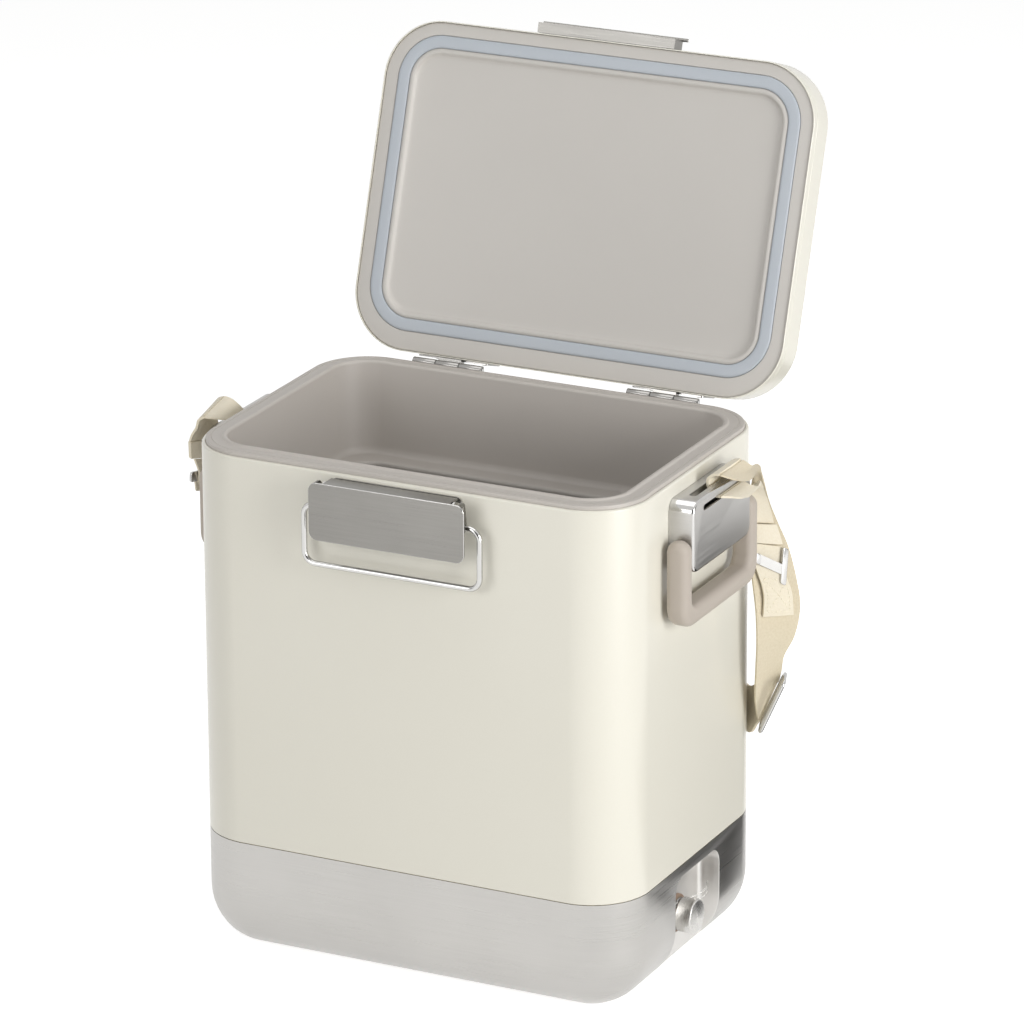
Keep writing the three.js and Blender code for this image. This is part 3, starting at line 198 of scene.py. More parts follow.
# %% [markdown]
# The tub and the lid's lining are injection-moulded polypropylene in warm grey: a satin skin with a very fine
# spark-eroded texture. The grips are the same grey in a softer rubber-like plastic that shows no highlights.
# The seals are silicone and rubber, and the foam between the walls is poured polyurethane, seen by nobody. Shade
# is painted into the tub's colour: it grows darker with depth, which deepens the shade in the well.

# %% Plastics, rubber and foam
tub_plastic = finish("moulded_polypropylene", "#c6c0b9", "#c0bab3", (0.9, 0.9, 0.9), (0.42, 0.54), lift=0.01)


def paint_shade_with_depth(material, steps):
    """Paints shade into a finish's colour, darker with depth. A step is (lower height, upper height, share left
    below), in metres.
    """
    tree, surface = material.node_tree, principled(material)
    tone = surface.inputs["Base Color"].links[0].from_socket
    height = add(tree, "SeparateXYZ", {}, {0: add(tree, "TexCoord").outputs["Object"]}).outputs[2]
    for low, high, left in steps:
        share = add(tree, "MapRange", {"From Min": low, "From Max": high, "To Min": left}, {"Value": height})
        tone = add(tree, "VectorMath", {"operation": "SCALE"}, {0: tone, "Scale": share.outputs[0]}).outputs[0]
    tree.links.new(tone, surface.inputs["Base Color"])


# Painted shade: the tub's colour darkens from the rim down to the ledge, and more in the well below it.
paint_shade_with_depth(tub_plastic, [(0.3265, 0.3335, 0.55), (0.334, 0.398, 0.88)])
lid_plastic = finish("moulded_polypropylene_lid", "#cfcbc5", "#cac6c0", (0.9, 0.9, 0.9), (0.42, 0.54),
                     lift=0.01)
grip_plastic = finish("soft_touch_plastic", "#bcb2a7", "#b7ada2", (0.8, 0.8, 0.8), (0.5, 0.62), lift=0.015,
                      sockets={"Sheen Weight": 0.1, "Sheen Roughness": 0.4})
gasket_rubber = finish("silicone_seal", "#bec4ca", "#b6bdc5", (2.5, 2.5, 2.5), (0.36, 0.5), lift=0.015)
washer_rubber = finish("brown_rubber_washer", "#a48c78", "#937c69", (0.8, 0.8, 0.8), (0.6, 0.75), lift=0.02)
seal_rubber = finish("black_rubber", "#2e2d2c", "#262524", (1, 1, 1), (0.6, 0.8), lift=0.03)
foam = finish("polyurethane_foam", "#e8dcb4", "#ddd0a6", (1.2, 1.2, 1.2), (0.85, 0.95), lift=0.1)
clear_plastic = finish("clear_vinyl", "#f4f4f2", "#ecece9", (5, 5, 5), (0.08, 0.16), lift=0.004,
                       sockets={"Transmission Weight": 0.85, "IOR": 1.46})

# %% [markdown]
# The strap is cotton-like polyester webbing in cream. It is woven, so it needs a pattern that follows it round
# every bend: each band carries its own flat map, in millimetres across and along. Two waves at right angles
# stand for the warp and the weft. Real threads are about 0.6 mm apart, too fine for the picture, so they are
# drawn about twice as coarse, and a little sheen stands for the loose fibres. The webbing comes in two copies:
# the sewn lengths get a lighter one, which is painted light, and the drops and the run behind the cooler a
# darker one, which is painted shade, so that the layers stay apart.

# %% Webbing and thread
THREAD = 1.3


def woven(name, light, dark):
    material, tree = blank_material(name)
    flat = add(tree, "UVMap", {"uv_map": "UVMap"}).outputs[0]
    warp, weft = (add(tree, "TexWave", {"bands_direction": way, "Scale": math.pi / (count * THREAD),
                                        "Distortion": 0.4, "Detail": 1.0}, {"Vector": flat})
                  for way, count in (("X", 10), ("Y", 8)))
    weave = add(tree, "Math", {"operation": "MULTIPLY"}, {0: warp.outputs["Fac"], 1: weft.outputs["Fac"]})
    fuzz = add(tree, "TexNoise", {"Scale": 0.5, "Detail": 4.0}, {"Vector": flat})
    share = add(tree, "Math", {"operation": "MULTIPLY_ADD", 1: 0.5},
                {0: weave.outputs[0], 2: fuzz.outputs["Fac"]})
    dull = add(tree, "MapRange", {"To Min": 0.72, "To Max": 0.88}, {"Value": fuzz.outputs["Fac"]})
    dress(tree, light, dark, share, dull, {"Strength": 0.8, "Distance": 0.00025}, weave.outputs[0],
          {"Sheen Weight": 0.25, "Sheen Roughness": 0.5})
    return material


# Painted shade and light: the darker copy stands for webbing in shade, the lighter one for webbing in light.
webbing = woven("woven_webbing", "#e7dcc4", "#d4c6a7")
lit_webbing = woven("woven_webbing_lit", "#f6eedb", "#eadec3")
thread = finish("sewing_thread", "#fdf6e4", "#f0e6cc", (0.5, 0.5, 0.5), (0.6, 0.8), lift=0.05)
print(len(bpy.data.materials), "finishes in all")

# %% [markdown]
# Meshes are built in bmesh. Most of the cooler is a rounded rectangle that changes size as it rises, so the
# main tool makes such a loop from a circle, whose four quarters are pulled apart, and the next one bridges the
# loops into walls. Booleans cut the few openings. Sheets with one thickness and a bent outline start as a
# cube whose edges are bevelled.

# %% Loops, walls, plates and cuts
CORNER_STEPS = 14
TINY = 1e-4


def quarter(steps):
    """The angles of a quarter turn, in even steps."""
    return [math.pi / 2 * k / steps for k in range(steps + 1)]


def placed(name, data):
    """A new object in the scene."""
    item = bpy.data.objects.new(name, data)
    bpy.context.scene.collection.objects.link(item)
    return item


def as_mesh(bm, name):
    """The bmesh as a mesh. The bmesh goes."""
    mesh = bpy.data.meshes.new(name)
    bm.to_mesh(mesh)
    bm.free()
    return mesh


def rounded_loop(bm, width, depth, radius, z, middle=0.0):
    """Edges of a rounded rectangle at height z, its centre at Y = middle, in one order in every run."""
    half_step = math.pi / (4 * CORNER_STEPS)
    made = bmesh.ops.create_circle(bm, segments=4 * CORNER_STEPS, radius=radius / math.cos(half_step),
                                   matrix=Matrix.Rotation(half_step, 4, "Z"))
    for v in made["verts"]:
        v.co.x += math.copysign(width / 2 - radius, v.co.x)
        v.co.y += math.copysign(depth / 2 - radius, v.co.y) + middle
        v.co.z = z
    return list(dict.fromkeys(e for v in made["verts"] for e in v.link_edges))


def bridge(bm, loops, closed=False):
    """Walls between neighbouring loops, with both ends filled or, when closed, the last joined to the first."""
    for low, high in zip(loops, loops[1:]):
        bmesh.ops.bridge_loops(bm, edges=low + high)
    if closed:
        bmesh.ops.bridge_loops(bm, edges=loops[-1] + loops[0])
    else:
        for end in (loops[0], loops[-1]):
            bmesh.ops.edgeloop_fill(bm, edges=end)
    return bm


def soften(bm, edges, radius, segments=4, clamp=True):
    bmesh.ops.bevel(bm, geom=list(edges), offset=radius, offset_type="OFFSET", segments=segments, profile=0.5,
                    affect="EDGES", clamp_overlap=clamp, material=-1)


def axis_of(edge):
    """0, 1 or 2 for an edge along X, Y or Z, and None for any other."""
    way = (edge.verts[1].co - edge.verts[0].co).normalized()
    return next((k for k in range(3) if abs(way[k]) > 0.999), None)


def block(low, high, radius=0.0, along=None, edge=0.0, ends=(True, True), segments=8):
    """A box between two corners. Its edges along one axis are rounded by radius, and the outlines of its
    two ends across that axis by edge."""
    bm = bmesh.new()
    low, high = Vector(low), Vector(high)
    bmesh.ops.create_cube(bm, size=1, matrix=Matrix.Translation((low + high) / 2) @ Matrix.Diagonal(
        (*(high - low), 1)))
    if radius:
        soften(bm, [e for e in bm.edges if axis_of(e) == along], radius, segments)
    if edge:
        places = [p for p, wanted in zip((low[along], high[along]), ends) if wanted]
        rim = [e for e in bm.edges if any(all(abs(v.co[along] - p) < TINY for v in e.verts) for p in places)]
        soften(bm, rim, edge)
    return bm


def bar(axis, radius, start, end, centre, segments=32, edge=0.0):
    """A round bar along an axis, through the other two coordinates of its centre."""
    bm = bmesh.new()
    k = "xyz".index(axis)
    place = list(centre)
    place.insert(k, (start + end) / 2)
    turn = {"x": Matrix.Rotation(math.pi / 2, 4, "Y"), "y": Matrix.Rotation(math.pi / 2, 4, "X"),
            "z": Matrix.Identity(4)}[axis]
    bmesh.ops.create_cone(bm, cap_ends=True, segments=segments, radius1=radius, radius2=radius,
                          depth=end - start, matrix=Matrix.Translation(place) @ turn)
    if edge:
        soften(bm, [e for e in bm.edges if axis_of(e) != k or segments < 8], edge, 2)
    return bm


def thicken(bm, thick):
    """Gives a flat face its thickness along X."""
    grown = bmesh.ops.extrude_face_region(bm, geom=bm.faces[:])["geom"]
    bmesh.ops.translate(bm, vec=(thick, 0, 0), verts=[g for g in grown if isinstance(g, bmesh.types.BMVert)])


def gather(*parts):
    """Several bmeshes as one."""
    whole = bmesh.new()
    for part in parts:
        mesh = as_mesh(part, "part")
        whole.from_mesh(mesh)
        bpy.data.meshes.remove(mesh)
    return whole


def stand_in(bm):
    """A temporary object for a boolean."""
    bmesh.ops.recalc_face_normals(bm, faces=bm.faces)
    return placed("stand_in", as_mesh(bm, "stand_in"))


def baked(item):
    """The mesh of an object with its modifiers applied, as a bmesh. The object goes."""
    mesh = bpy.data.meshes.new_from_object(item.evaluated_get(bpy.context.evaluated_depsgraph_get()))
    bm = bmesh.new()
    bm.from_mesh(mesh)
    bpy.data.meshes.remove(mesh)
    bpy.data.objects.remove(item)
    return bm


def carve(bm, *tools, operation="DIFFERENCE"):
    whole = stand_in(bm)
    helpers = [stand_in(tool) for tool in tools]
    for helper in helpers:
        cut = whole.modifiers.new("cut", "BOOLEAN")
        cut.operation, cut.solver, cut.object = operation, "EXACT", helper
    done = baked(whole)
    for helper in helpers:
        bpy.data.objects.remove(helper)
    return done


def turned(places, centre, axis, steps):
    """Lathe work: a line of places spun about an axis."""
    bm = bmesh.new()
    verts = [bm.verts.new(place) for place in places]
    edges = [bm.edges.new(pair) for pair in zip(verts, verts[1:])]
    bmesh.ops.spin(bm, geom=verts + edges, cent=centre, axis=axis, angle=2 * math.pi, steps=steps,
                   use_merge=True)
    bmesh.ops.remove_doubles(bm, verts=bm.verts, dist=TINY)
    return bm


# %% [markdown]
# A finished piece rides on its body and hides the plain solids that it stands for. Smooth shading with sharp
# edges past an angle keeps bends soft and folds crisp. The lid's pieces are drawn closed, as a maker would
# draw them, and turned open about the hinge.

# %% Making a piece
MM = 0.001
HINGE = (134.5, 403.9)
hinge_line = Vector((0, *HINGE))
LID_ANGLE = 108.5
opened = (Matrix.Translation(hinge_line) @ Matrix.Rotation(-math.radians(LID_ANGLE), 4, "X")
          @ Matrix.Translation(-hinge_line))


def make(name, bm, body, material, nodes, sharp=38, mirrored=False, lid=False, edges=None):
    """edges is a second material, for the rounded edges of a plate: faces that look along no axis."""
    bmesh.ops.recalc_face_normals(bm, faces=bm.faces)
    if edges:
        for face in bm.faces:
            face.material_index = 0 if max(abs(n) for n in face.normal) > 0.97 else 1
    if mirrored:
        bmesh.ops.scale(bm, vec=(-1, 1, 1), verts=bm.verts)
    if lid:
        bmesh.ops.transform(bm, matrix=opened, verts=bm.verts)
    bmesh.ops.recalc_face_normals(bm, faces=bm.faces)
    bmesh.ops.scale(bm, vec=(MM, MM, MM), verts=bm.verts)
    mesh = as_mesh(bm, name)
    mesh.polygons.foreach_set("use_smooth", [True] * len(mesh.polygons))
    mesh.set_sharp_from_angle(angle=math.radians(sharp))
    for each in [material] + ([edges] if edges else []):
        mesh.materials.append(each)
    piece = placed(name, mesh)
    if body:
        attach(piece, body)
    if nodes:
        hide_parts(*nodes)
    print(name, len(mesh.polygons), "faces")
    return piece


# %% [markdown]
# The body is a sleeve of painted sheet steel on a bare steel tray. A sleeve is a loop that goes up the outside,
# turns in at the top in a tight bend and comes down the inside. The tray is a deep-drawn bowl: its lower edge
# is a quarter of an ellipse, 44 mm in and 46 mm up, drawn as a stack of loops.

# %% Body sleeve and base tray
WIDTH, DEPTH, CORNER = 365, 257.7, 47.2
SIDE, FRONT = WIDTH / 2, -DEPTH / 2
SEAM, SHELL_TOP, RIM_TOP = 95.4, 403.8, 406.8
SHEET = 0.9


def body_loop(bm, inset, z):
    return rounded_loop(bm, WIDTH - 2 * inset, DEPTH - 2 * inset, CORNER - inset, z)


def painted_sleeve():
    bm = bmesh.new()
    bend = 1.6
    outside = [(bend * (1 - math.cos(a)), SHELL_TOP - bend + bend * math.sin(a)) for a in quarter(4)]
    profile = [(0, SEAM + 0.6), *outside, (2.5, SHELL_TOP), (2.5, SHELL_TOP - SHEET), (bend, SHELL_TOP - SHEET),
               (SHEET, SHELL_TOP - bend), (SHEET, SEAM + 0.6)]
    return bridge(bm, [body_loop(bm, inset, z) for inset, z in profile], closed=True)


make("painted_sleeve", painted_sleeve(), "cooler_body", powder_coat, ["outer_shell"])

RECESS = {"middle": 4, "width": 78, "top": 86, "floor": 165, "radius": 13}
DRAIN = 44.5


def bowl(inset, bottom, top):
    bm = bmesh.new()
    inwards, upwards = 44, 46
    profile = [(inset + (inwards - inset) * (1 - math.sin(a)), bottom + upwards * (1 - math.cos(a)))
               for a in quarter(12)]
    return bridge(bm, [body_loop(bm, depth, z) for depth, z in [*profile, (inset, top)]])


def pocket(grow):
    """The space of the pressed recess, with its back edges rounded, grown by the sheet where that is wanted."""
    half = RECESS["width"] / 2 + grow
    return block((RECESS["floor"] - grow, RECESS["middle"] - half, -40),
                 (SIDE + 4 + grow, RECESS["middle"] + half, RECESS["top"] + grow), RECESS["radius"] + grow, 0,
                 3.5 + grow, (True, False))


def mouth_edges(bm):
    """Sharp edges round the mouth of the recess."""
    return [e for e in bm.edges if len(e.link_faces) == 2 and e.calc_face_angle(0) > math.radians(35)
            and all(v.co.x > RECESS["floor"] + 0.5 and v.co.z < RECESS["top"] + 1 for v in e.verts)]


def steel_tray():
    tray = carve(bowl(0, 1.5, SEAM), pocket(0))
    soften(tray, mouth_edges(tray), 1.4, 3)
    space = carve(bowl(SHEET, 1.5 + SHEET, SEAM + 5), pocket(SHEET))
    tray = carve(tray, space, bar("x", 9.5, RECESS["floor"] - 3, RECESS["floor"] + 3, (0, DRAIN)))
    half = RECESS["width"] / 2 + 0.3
    for face in tray.faces:
        x, y, z = face.calc_center_median()
        face.material_index = int(RECESS["floor"] - 0.3 < x < SIDE - 0.1 and abs(y - RECESS["middle"]) < half
                                  and z < RECESS["top"] + 0.3)
    return tray


tray = make("steel_tray", steel_tray(), "cooler_body", brushed_around, ["base_tray"], sharp=30)
tray.data.materials.append(pressed_steel)

# %% [markdown]
# The tub is one moulding: a flat rim that caps the foam-filled wall, a raised bead round the opening that the
# lid's seal closes on, straight sides with a little draft, a ledge for a basket and a deeper well. All of it is
# a stack of loops, from the hidden outside, over the rim and down to the floor.

# %% Tub
OPENING = (327, 220, 29)
WELL = (290, 183, 20)


def opening_loop(bm, grow, z, shape=OPENING):
    width, depth, radius = shape
    return rounded_loop(bm, width + 2 * grow, depth + 2 * grow, radius + grow, z)


def tub():
    bm = bmesh.new()
    ledge, floor = 333.8, 35
    wall = 2.5
    loops = [opening_loop(bm, wall - 4, floor - wall, WELL), opening_loop(bm, wall - 2, floor - wall + 2, WELL),
             opening_loop(bm, wall - 2, ledge - wall, WELL), opening_loop(bm, wall - 4, ledge - wall),
             opening_loop(bm, wall, RIM_TOP - 8), opening_loop(bm, wall, RIM_TOP - 4)]
    loops += [body_loop(bm, inset, z) for inset, z in (
        (2.9, RIM_TOP - 4), (2.9, RIM_TOP - 0.9), (3.15, RIM_TOP - 0.3), (3.8, RIM_TOP), (6.4, RIM_TOP),
        (6.7, RIM_TOP - 0.35), (7.3, RIM_TOP - 0.35), (7.6, RIM_TOP))]
    loops += [opening_loop(bm, grow, RIM_TOP + z) for grow, z in (
        (5.2, 0), (4.6, 0.15), (4.2, 0.6), (3.8, 1.05), (3.1, 1.35), (2.2, 1.4), (1.3, 1.2), (0.6, 0.7),
        (0.15, 0), (0, -0.8))]
    loops += [opening_loop(bm, grow, z) for grow, z in (
        (-2, ledge + 6), (-2.8, ledge + 2.6), (-4.4, ledge + 0.7), (-6.5, ledge))]
    loops += [opening_loop(bm, grow, z, WELL) for grow, z in (
        (1.6, ledge), (0.3, ledge - 0.3), (-0.8, ledge - 0.9), (-1.6, ledge - 1.9), (-2, ledge - 3.2),
        (-2, floor + 5), (-2.4, floor + 2.2), (-3.4, floor + 0.7), (-5, floor + 0.1), (-6.5, floor))]
    return carve(bridge(bm, loops), bar("x", 7, WELL[0] / 2 - 10, WELL[0] / 2 + 6, (0, DRAIN)))


make("tub_moulding", tub(), "cooler_body", tub_plastic, ["inner_tub"])

# %% [markdown]
# The lid repeats the body: a painted pan with a rounded top edge, a plastic lining set into it, and a silicone
# seal in a channel of the lining. A shallow bead runs inside the seal, round a flat panel set 3 mm deeper. The
# panel stays bare. A thin groove near the pan's edge shows where its rim is rolled.

# %% Lid
LID_LOW, LID_HIGH = 408.6, 438.6
BORDER = LID_LOW + 1.2
SEAL = (341.2, 231, 36)
SEAL_MIDDLE = -2.5


def seal_loop(bm, inset, z):
    width, depth, radius = SEAL
    return rounded_loop(bm, width - 2 * inset, depth - 2 * inset, radius - inset, z, SEAL_MIDDLE)


def lid_pan():
    bm = bmesh.new()
    edge = 4
    top = [(edge * (1 - math.cos(a)), LID_HIGH - edge + edge * math.sin(a)) for a in quarter(6)]
    groove = LID_LOW + 6.2
    outside = [(0.9, LID_LOW), (0.45, LID_LOW), (0.1, LID_LOW + 0.3), (0, LID_LOW + 0.8), (0, groove - 0.5),
               (0.5, groove - 0.1), (0.5, groove + 0.1), (0, groove + 0.5), *top]
    inside = [(edge, LID_HIGH - SHEET), (SHEET, LID_HIGH - edge)]
    loops = [body_loop(bm, inset, z) for inset, z in outside]
    hollow = [body_loop(bm, inset, z) for inset, z in inside]
    for low, high in zip(loops, loops[1:]):
        bmesh.ops.bridge_loops(bm, edges=low + high)
    bmesh.ops.edgeloop_fill(bm, edges=loops[-1])
    for low, high in zip(hollow, [*hollow[1:], loops[0]]):
        bmesh.ops.bridge_loops(bm, edges=low + high)
    bmesh.ops.edgeloop_fill(bm, edges=hollow[0])
    return bm


def lid_lining():
    bm = bmesh.new()
    deep = BORDER + 2.4
    loops = [seal_loop(bm, inset, z) for inset, z in (
        (18.5, BORDER + 3), (16.2, BORDER + 2.7), (15, BORDER + 1.6), (14.4, BORDER + 0.2),
        (13.7, BORDER - 0.4), (12.6, BORDER - 0.7), (11.5, BORDER - 0.5), (10.7, BORDER),
        (10.3, BORDER + 0.4), (10.3, deep), (0, deep), (0, BORDER + 0.4), (-0.4, BORDER))]
    loops += [body_loop(bm, inset, z) for inset, z in (
        (2.4, BORDER), (1.7, BORDER + 0.2), (1.2, BORDER + 0.8), (1.2, BORDER + 5.5))]
    return bridge(bm, loops)


def lid_seal():
    bm = bmesh.new()
    low, high = BORDER - 0.9, BORDER + 2.1
    loops = [seal_loop(bm, inset, z) for inset, z in (
        (0.3, high), (0.3, low + 1), (0.7, low + 0.4), (1.5, low + 0.1), (2.6, low), (7.7, low),
        (8.8, low + 0.1), (9.6, low + 0.4), (10, low + 1), (10, high))]
    return bridge(bm, loops, closed=True)


make("lid_pan", lid_pan(), "lid", powder_coat, ["lid_shell"], lid=True)
make("lid_lining", lid_lining(), "lid", lid_plastic, ["lid_liner"], lid=True)
make("lid_seal", lid_seal(), "lid", gasket_rubber, ["lid_gasket"], lid=True)

# %% [markdown]
# The side handles are thick U-shaped grips that hang from a pressed steel bracket. A U starts as a flat face
# of eight corners. Its lower corners are rounded in the flat first, then the face is given its thickness, and
# last its outline is rolled over, which is how the eye reads a hand grip. The bracket is a shallow pan with
# rolled edges and two slots, one in its face and one in its top, for the strap.

# %% Handle grips and brackets
GRIP = {"half": 65, "leg": 13.8, "low": 297.5, "bar": 15.5, "top": 366, "near": 186, "thick": 18}
BRACKET = {"half": 50.7, "low": 338, "high": 393, "near": 182.8, "far": 203}


def handle_grip():
    bm = bmesh.new()
    half, inner, low, bar_top, top = (GRIP["half"], GRIP["half"] - GRIP["leg"], GRIP["low"],
                                      GRIP["low"] + GRIP["bar"], GRIP["top"])
    outline = [(-half, top), (-half, low), (half, low), (half, top), (inner, top), (inner, bar_top),
               (-inner, bar_top), (-inner, top)]
    corners = [bm.verts.new((GRIP["near"], y, z)) for y, z in outline]
    bm.faces.new(corners)
    for turn, radius, steps in (((1, 2), 17, 10), ((5, 6), 8, 8)):
        bmesh.ops.bevel(bm, geom=[corners[k] for k in turn], offset=radius, offset_type="OFFSET",
                        segments=steps, profile=0.5, affect="VERTICES", material=-1)
    thicken(bm, GRIP["thick"])
    crown = [e for e in bm.edges if axis_of(e) == 1 and all(abs(v.co.z - top) < TINY for v in e.verts)]
    soften(bm, crown, 8.8, 8)
    soften(bm, [e for e in bm.edges if e.calc_face_angle(0) > 0.6], 6, 7, clamp=False)
    return bm


def handle_bracket():
    low = (BRACKET["near"] - 6, -BRACKET["half"], BRACKET["low"])
    high = (BRACKET["far"], BRACKET["half"], BRACKET["high"])
    wall = 1.5
    pan = block(low, high, 9, 0, 2.4, (False, True))
    hollow = block((low[0] - 2, low[1] + wall, low[2] + wall), [place - wall for place in high], 7.5, 0, 1,
                   (False, True))
    trim = block((low[0] - 4, -90, 300), (BRACKET["near"], 90, 420))
    face_slot = block((high[0] - 6, -33.5, 382.6), (high[0] + 6, 33.5, 387.2), 2.2, 0)
    top_slot = block((190.5, -33.5, high[2] - 6), (196.5, 33.5, high[2] + 6), 2.9, 2)
    bore = bar("y", 3.3, -60, 60, (195, 357))
    return carve(pan, hollow, trim, face_slot, top_slot, bore)


for side in ("right", "left"):
    flip = side == "left"
    make(f"grip_{side}", handle_grip(), f"handle_{side}", grip_plastic, [f"handle_grip_{side}"],
         mirrored=flip)
    make(f"bracket_{side}", handle_bracket(), "cooler_body", brushed_plate, [f"handle_bracket_{side}"],
         mirrored=flip, sharp=30, edges=polished_steel)

# %% [markdown]
# The latch is a brushed lever plate with its top folded back over the pin, a bail of bent round wire that hangs
# from the lever's side flanges, and a folded keeper on the lid that the bail hooks over. Wire is a curve with a
# round section, turned into a mesh. The keeper is a pressed pan with a lip along its face.

# %% Latch
LEVER = {"half": 64, "front": -148.05, "low": 356.5, "high": 401.5, "thick": 1.5}
PIN, BAIL = (-141.05, 396.5), (-139.05, 381.5)
BEND_STEPS = 8


def bent(points, radius):
    """A line of points whose inner corners are rounded."""
    points = [Vector(p) for p in points]
    path = [points[0]]
    for before, corner, after in zip(points, points[1:], points[2:]):
        start, end = (before - corner).normalized(), (after - corner).normalized()
        half = start.angle(end) / 2
        centre = corner + (start + end).normalized() * radius / math.sin(half)
        first = corner + start * radius / math.tan(half) - centre
        last = corner + end * radius / math.tan(half) - centre
        path += [centre + first.slerp(last, k / BEND_STEPS).normalized() * radius
                 for k in range(BEND_STEPS + 1)]
    return path + [points[-1]]


def wire(points, radius, resolution=5):
    curve = bpy.data.curves.new("wire", "CURVE")
    curve.dimensions = "3D"
    curve.bevel_depth = radius
    curve.bevel_resolution = resolution
    curve.use_fill_caps = True
    line = curve.splines.new("POLY")
    line.points.add(len(points) - 1)
    for place, point in zip(line.points, points):
        place.co = (*point, 1)
    bm = baked(placed("wire", curve))
    bmesh.ops.remove_doubles(bm, verts=bm.verts, dist=TINY)
    return bm


def ear(x, thick, places, reach, back):
    """A flange across X round one or more holes, joined to a plate at Y = back."""
    bm = bmesh.new()
    (top_y, top_z), (low_y, low_z) = places[0], places[-1]
    outline = [(back, top_z + reach)]
    outline += [(top_y + reach * math.sin(a), top_z + reach * math.cos(a)) for a in quarter(BEND_STEPS)]
    outline += [(low_y + reach * math.cos(a), low_z - reach * math.sin(a)) for a in quarter(BEND_STEPS)]
    outline.append((back, low_z - reach))
    bm.faces.new([bm.verts.new((x, y, z)) for y, z in outline])
    thicken(bm, thick)
    bmesh.ops.remove_doubles(bm, verts=bm.verts, dist=TINY)
    return bm


def latch_lever():
    front, thick = LEVER["front"], LEVER["thick"]
    half, top = LEVER["half"], LEVER["high"]
    plate = block((-half, front, LEVER["low"]), (half, front + thick, top), 7, 1, 0.6)
    fold = block((-51.9, front + 0.4, top - thick), (51.9, front + 15, top), 0.6, 0)
    ears = [ear(x, 1.4, [PIN, BAIL], 4.6, front + thick / 2) for x in (-59.7, 58.3)]
    holes = [bar("x", 2.0, -70, 70, PIN), bar("x", 2.5, -70, 70, BAIL)]
    return carve(carve(plate, fold, *ears, operation="UNION"), *holes)


def latch_bail():
    half, end, low = 72.3, 58, BAIL[1] - 46.5
    y, high = BAIL
    corners = [(-end, high), (-half, high), (-half, low), (half, low), (half, high), (end, high)]
    return wire(bent([(x, y, z) for x, z in corners], 9), 2.2)


def latch_keeper():
    low = LID_LOW + 2.4
    near, far = FRONT - 0.3, FRONT - 8.3
    pan = block((-58, far, low), (58, near, low + 17.4))
    hollow = block((-56.8, far + 1.2, low + 1.2), (56.8, near - 1.2, low + 30))
    trim = block((-70, far + 1.3, low + 14.6), (70, near + 5, low + 40))
    lip = block((-62, far - 1.6, low + 16.8), (62, far + 1.1, low + 18), 1.1, 1, 0.3)
    return carve(carve(pan, hollow, trim), lip, operation="UNION")


make("lever_plate", latch_lever(), "latch_lever", brushed_lever, ["latch_lever"], sharp=30,
     edges=polished_steel)
make("bail_wire", latch_bail(), "latch_bail", polished_steel, ["latch_bail"], sharp=60)
make("keeper_fold", latch_keeper(), "lid", brushed_lever, ["latch_keeper"], lid=True, sharp=30,
     edges=polished_steel)

# %% [markdown]
# Two butt hinges hold the lid: a leaf on the body with the outer knuckles, a leaf on the lid with the middle
# one, and domed screws. They are polished, so their knuckles need enough sides to mirror cleanly.

# %% Hinges
HINGES = (-91.5, 91.5)
KNUCKLE, LEAF = 3.25, 24


def domed_screw(x, seat, z):
    """A screw head across Y that stands on a seat and looks to the back."""
    radius, head = 2.6, 1.0
    profile = [(0, 0), (radius, 0), (radius, head * 0.45), (radius * 0.8, head * 0.85), (radius * 0.4, head),
               (0, head)]
    bm = turned([(r, 0, h) for r, h in profile], (0, 0, 0), (0, 0, 1), 20)
    bmesh.ops.transform(bm, matrix=Matrix.Translation((x, seat, z)) @ Matrix.Rotation(-math.pi / 2, 4, "X"),
                        verts=bm.verts)
    return bm


def hinge_leaf(centre, knuckles, low, bridge_low, bridge_high):
    near, half, pitch, length = -FRONT + 0.3, 30, 20, 19.4
    leaf = block((centre - half, near, low), (centre + half, near + 1.2, low + LEAF), 2, 1)
    parts = []
    for k in knuckles:
        start = centre - half + pitch * k + 0.3
        parts.append(bar("x", KNUCKLE, start, start + length, HINGE, 40, 0.3))
        parts.append(block((start, near, bridge_low), (start + length, HINGE[0], bridge_high)))
    leaf = carve(leaf, *parts, operation="UNION")
    leaf = carve(leaf, bar("x", 1.9, centre - 40, centre + 40, HINGE))
    screws = [domed_screw(centre + x, near + 1.2, low + LEAF / 2 + z)
              for x, z in ((-20, 4.8), (20, 4.8), (0, -4.8))]
    return gather(leaf, *screws)


body_low = HINGE[1] - KNUCKLE - 0.3 - LEAF
lid_low = LID_LOW + 2
for side, centre in zip(("left", "right"), HINGES):
    for part, body, knuckles, heights in (
            ("body", "cooler_body", (0, 2), (body_low, body_low + LEAF - 1.2, HINGE[1])),
            ("lid", "lid", (1,), (lid_low, 405.5, lid_low + 1.2))):
        make(f"hinge_leaf_{part}_{side}", hinge_leaf(centre, knuckles, *heights), body, hinge_steel,
             [f"hinge_{part}_leaf_{side}"], sharp=30, lid=part == "lid")

# %% [markdown]
# The drain's tether and the bands of the strap run through a few measured places. A curve that passes through
# every place and doesn't overshoot where they are close together is a centripetal Catmull-Rom curve.

# %% A smooth line through places
def smooth_line(points, samples):
    ends = [2 * points[0] - points[1], *points, 2 * points[-1] - points[-2]]
    line = []
    for p0, p1, p2, p3 in zip(ends, ends[1:], ends[2:], ends[3:]):
        a, b, c = (max((q - p).length ** 0.5, TINY) for p, q in ((p0, p1), (p1, p2), (p2, p3)))
        m1 = ((p1 - p0) / a - (p2 - p0) / (a + b) + (p2 - p1) / b) * b
        m2 = ((p2 - p1) / b - (p3 - p1) / (b + c) + (p3 - p2) / c) * b
        for k in range(samples):
            t = k / samples
            line.append(p1 * (2 * t**3 - 3 * t**2 + 1) + m1 * (t**3 - 2 * t**2 + t) + p2 * (3 * t**2 - 2 * t**3)
                        + m2 * (t**3 - t**2))
    return line + [points[-1]]
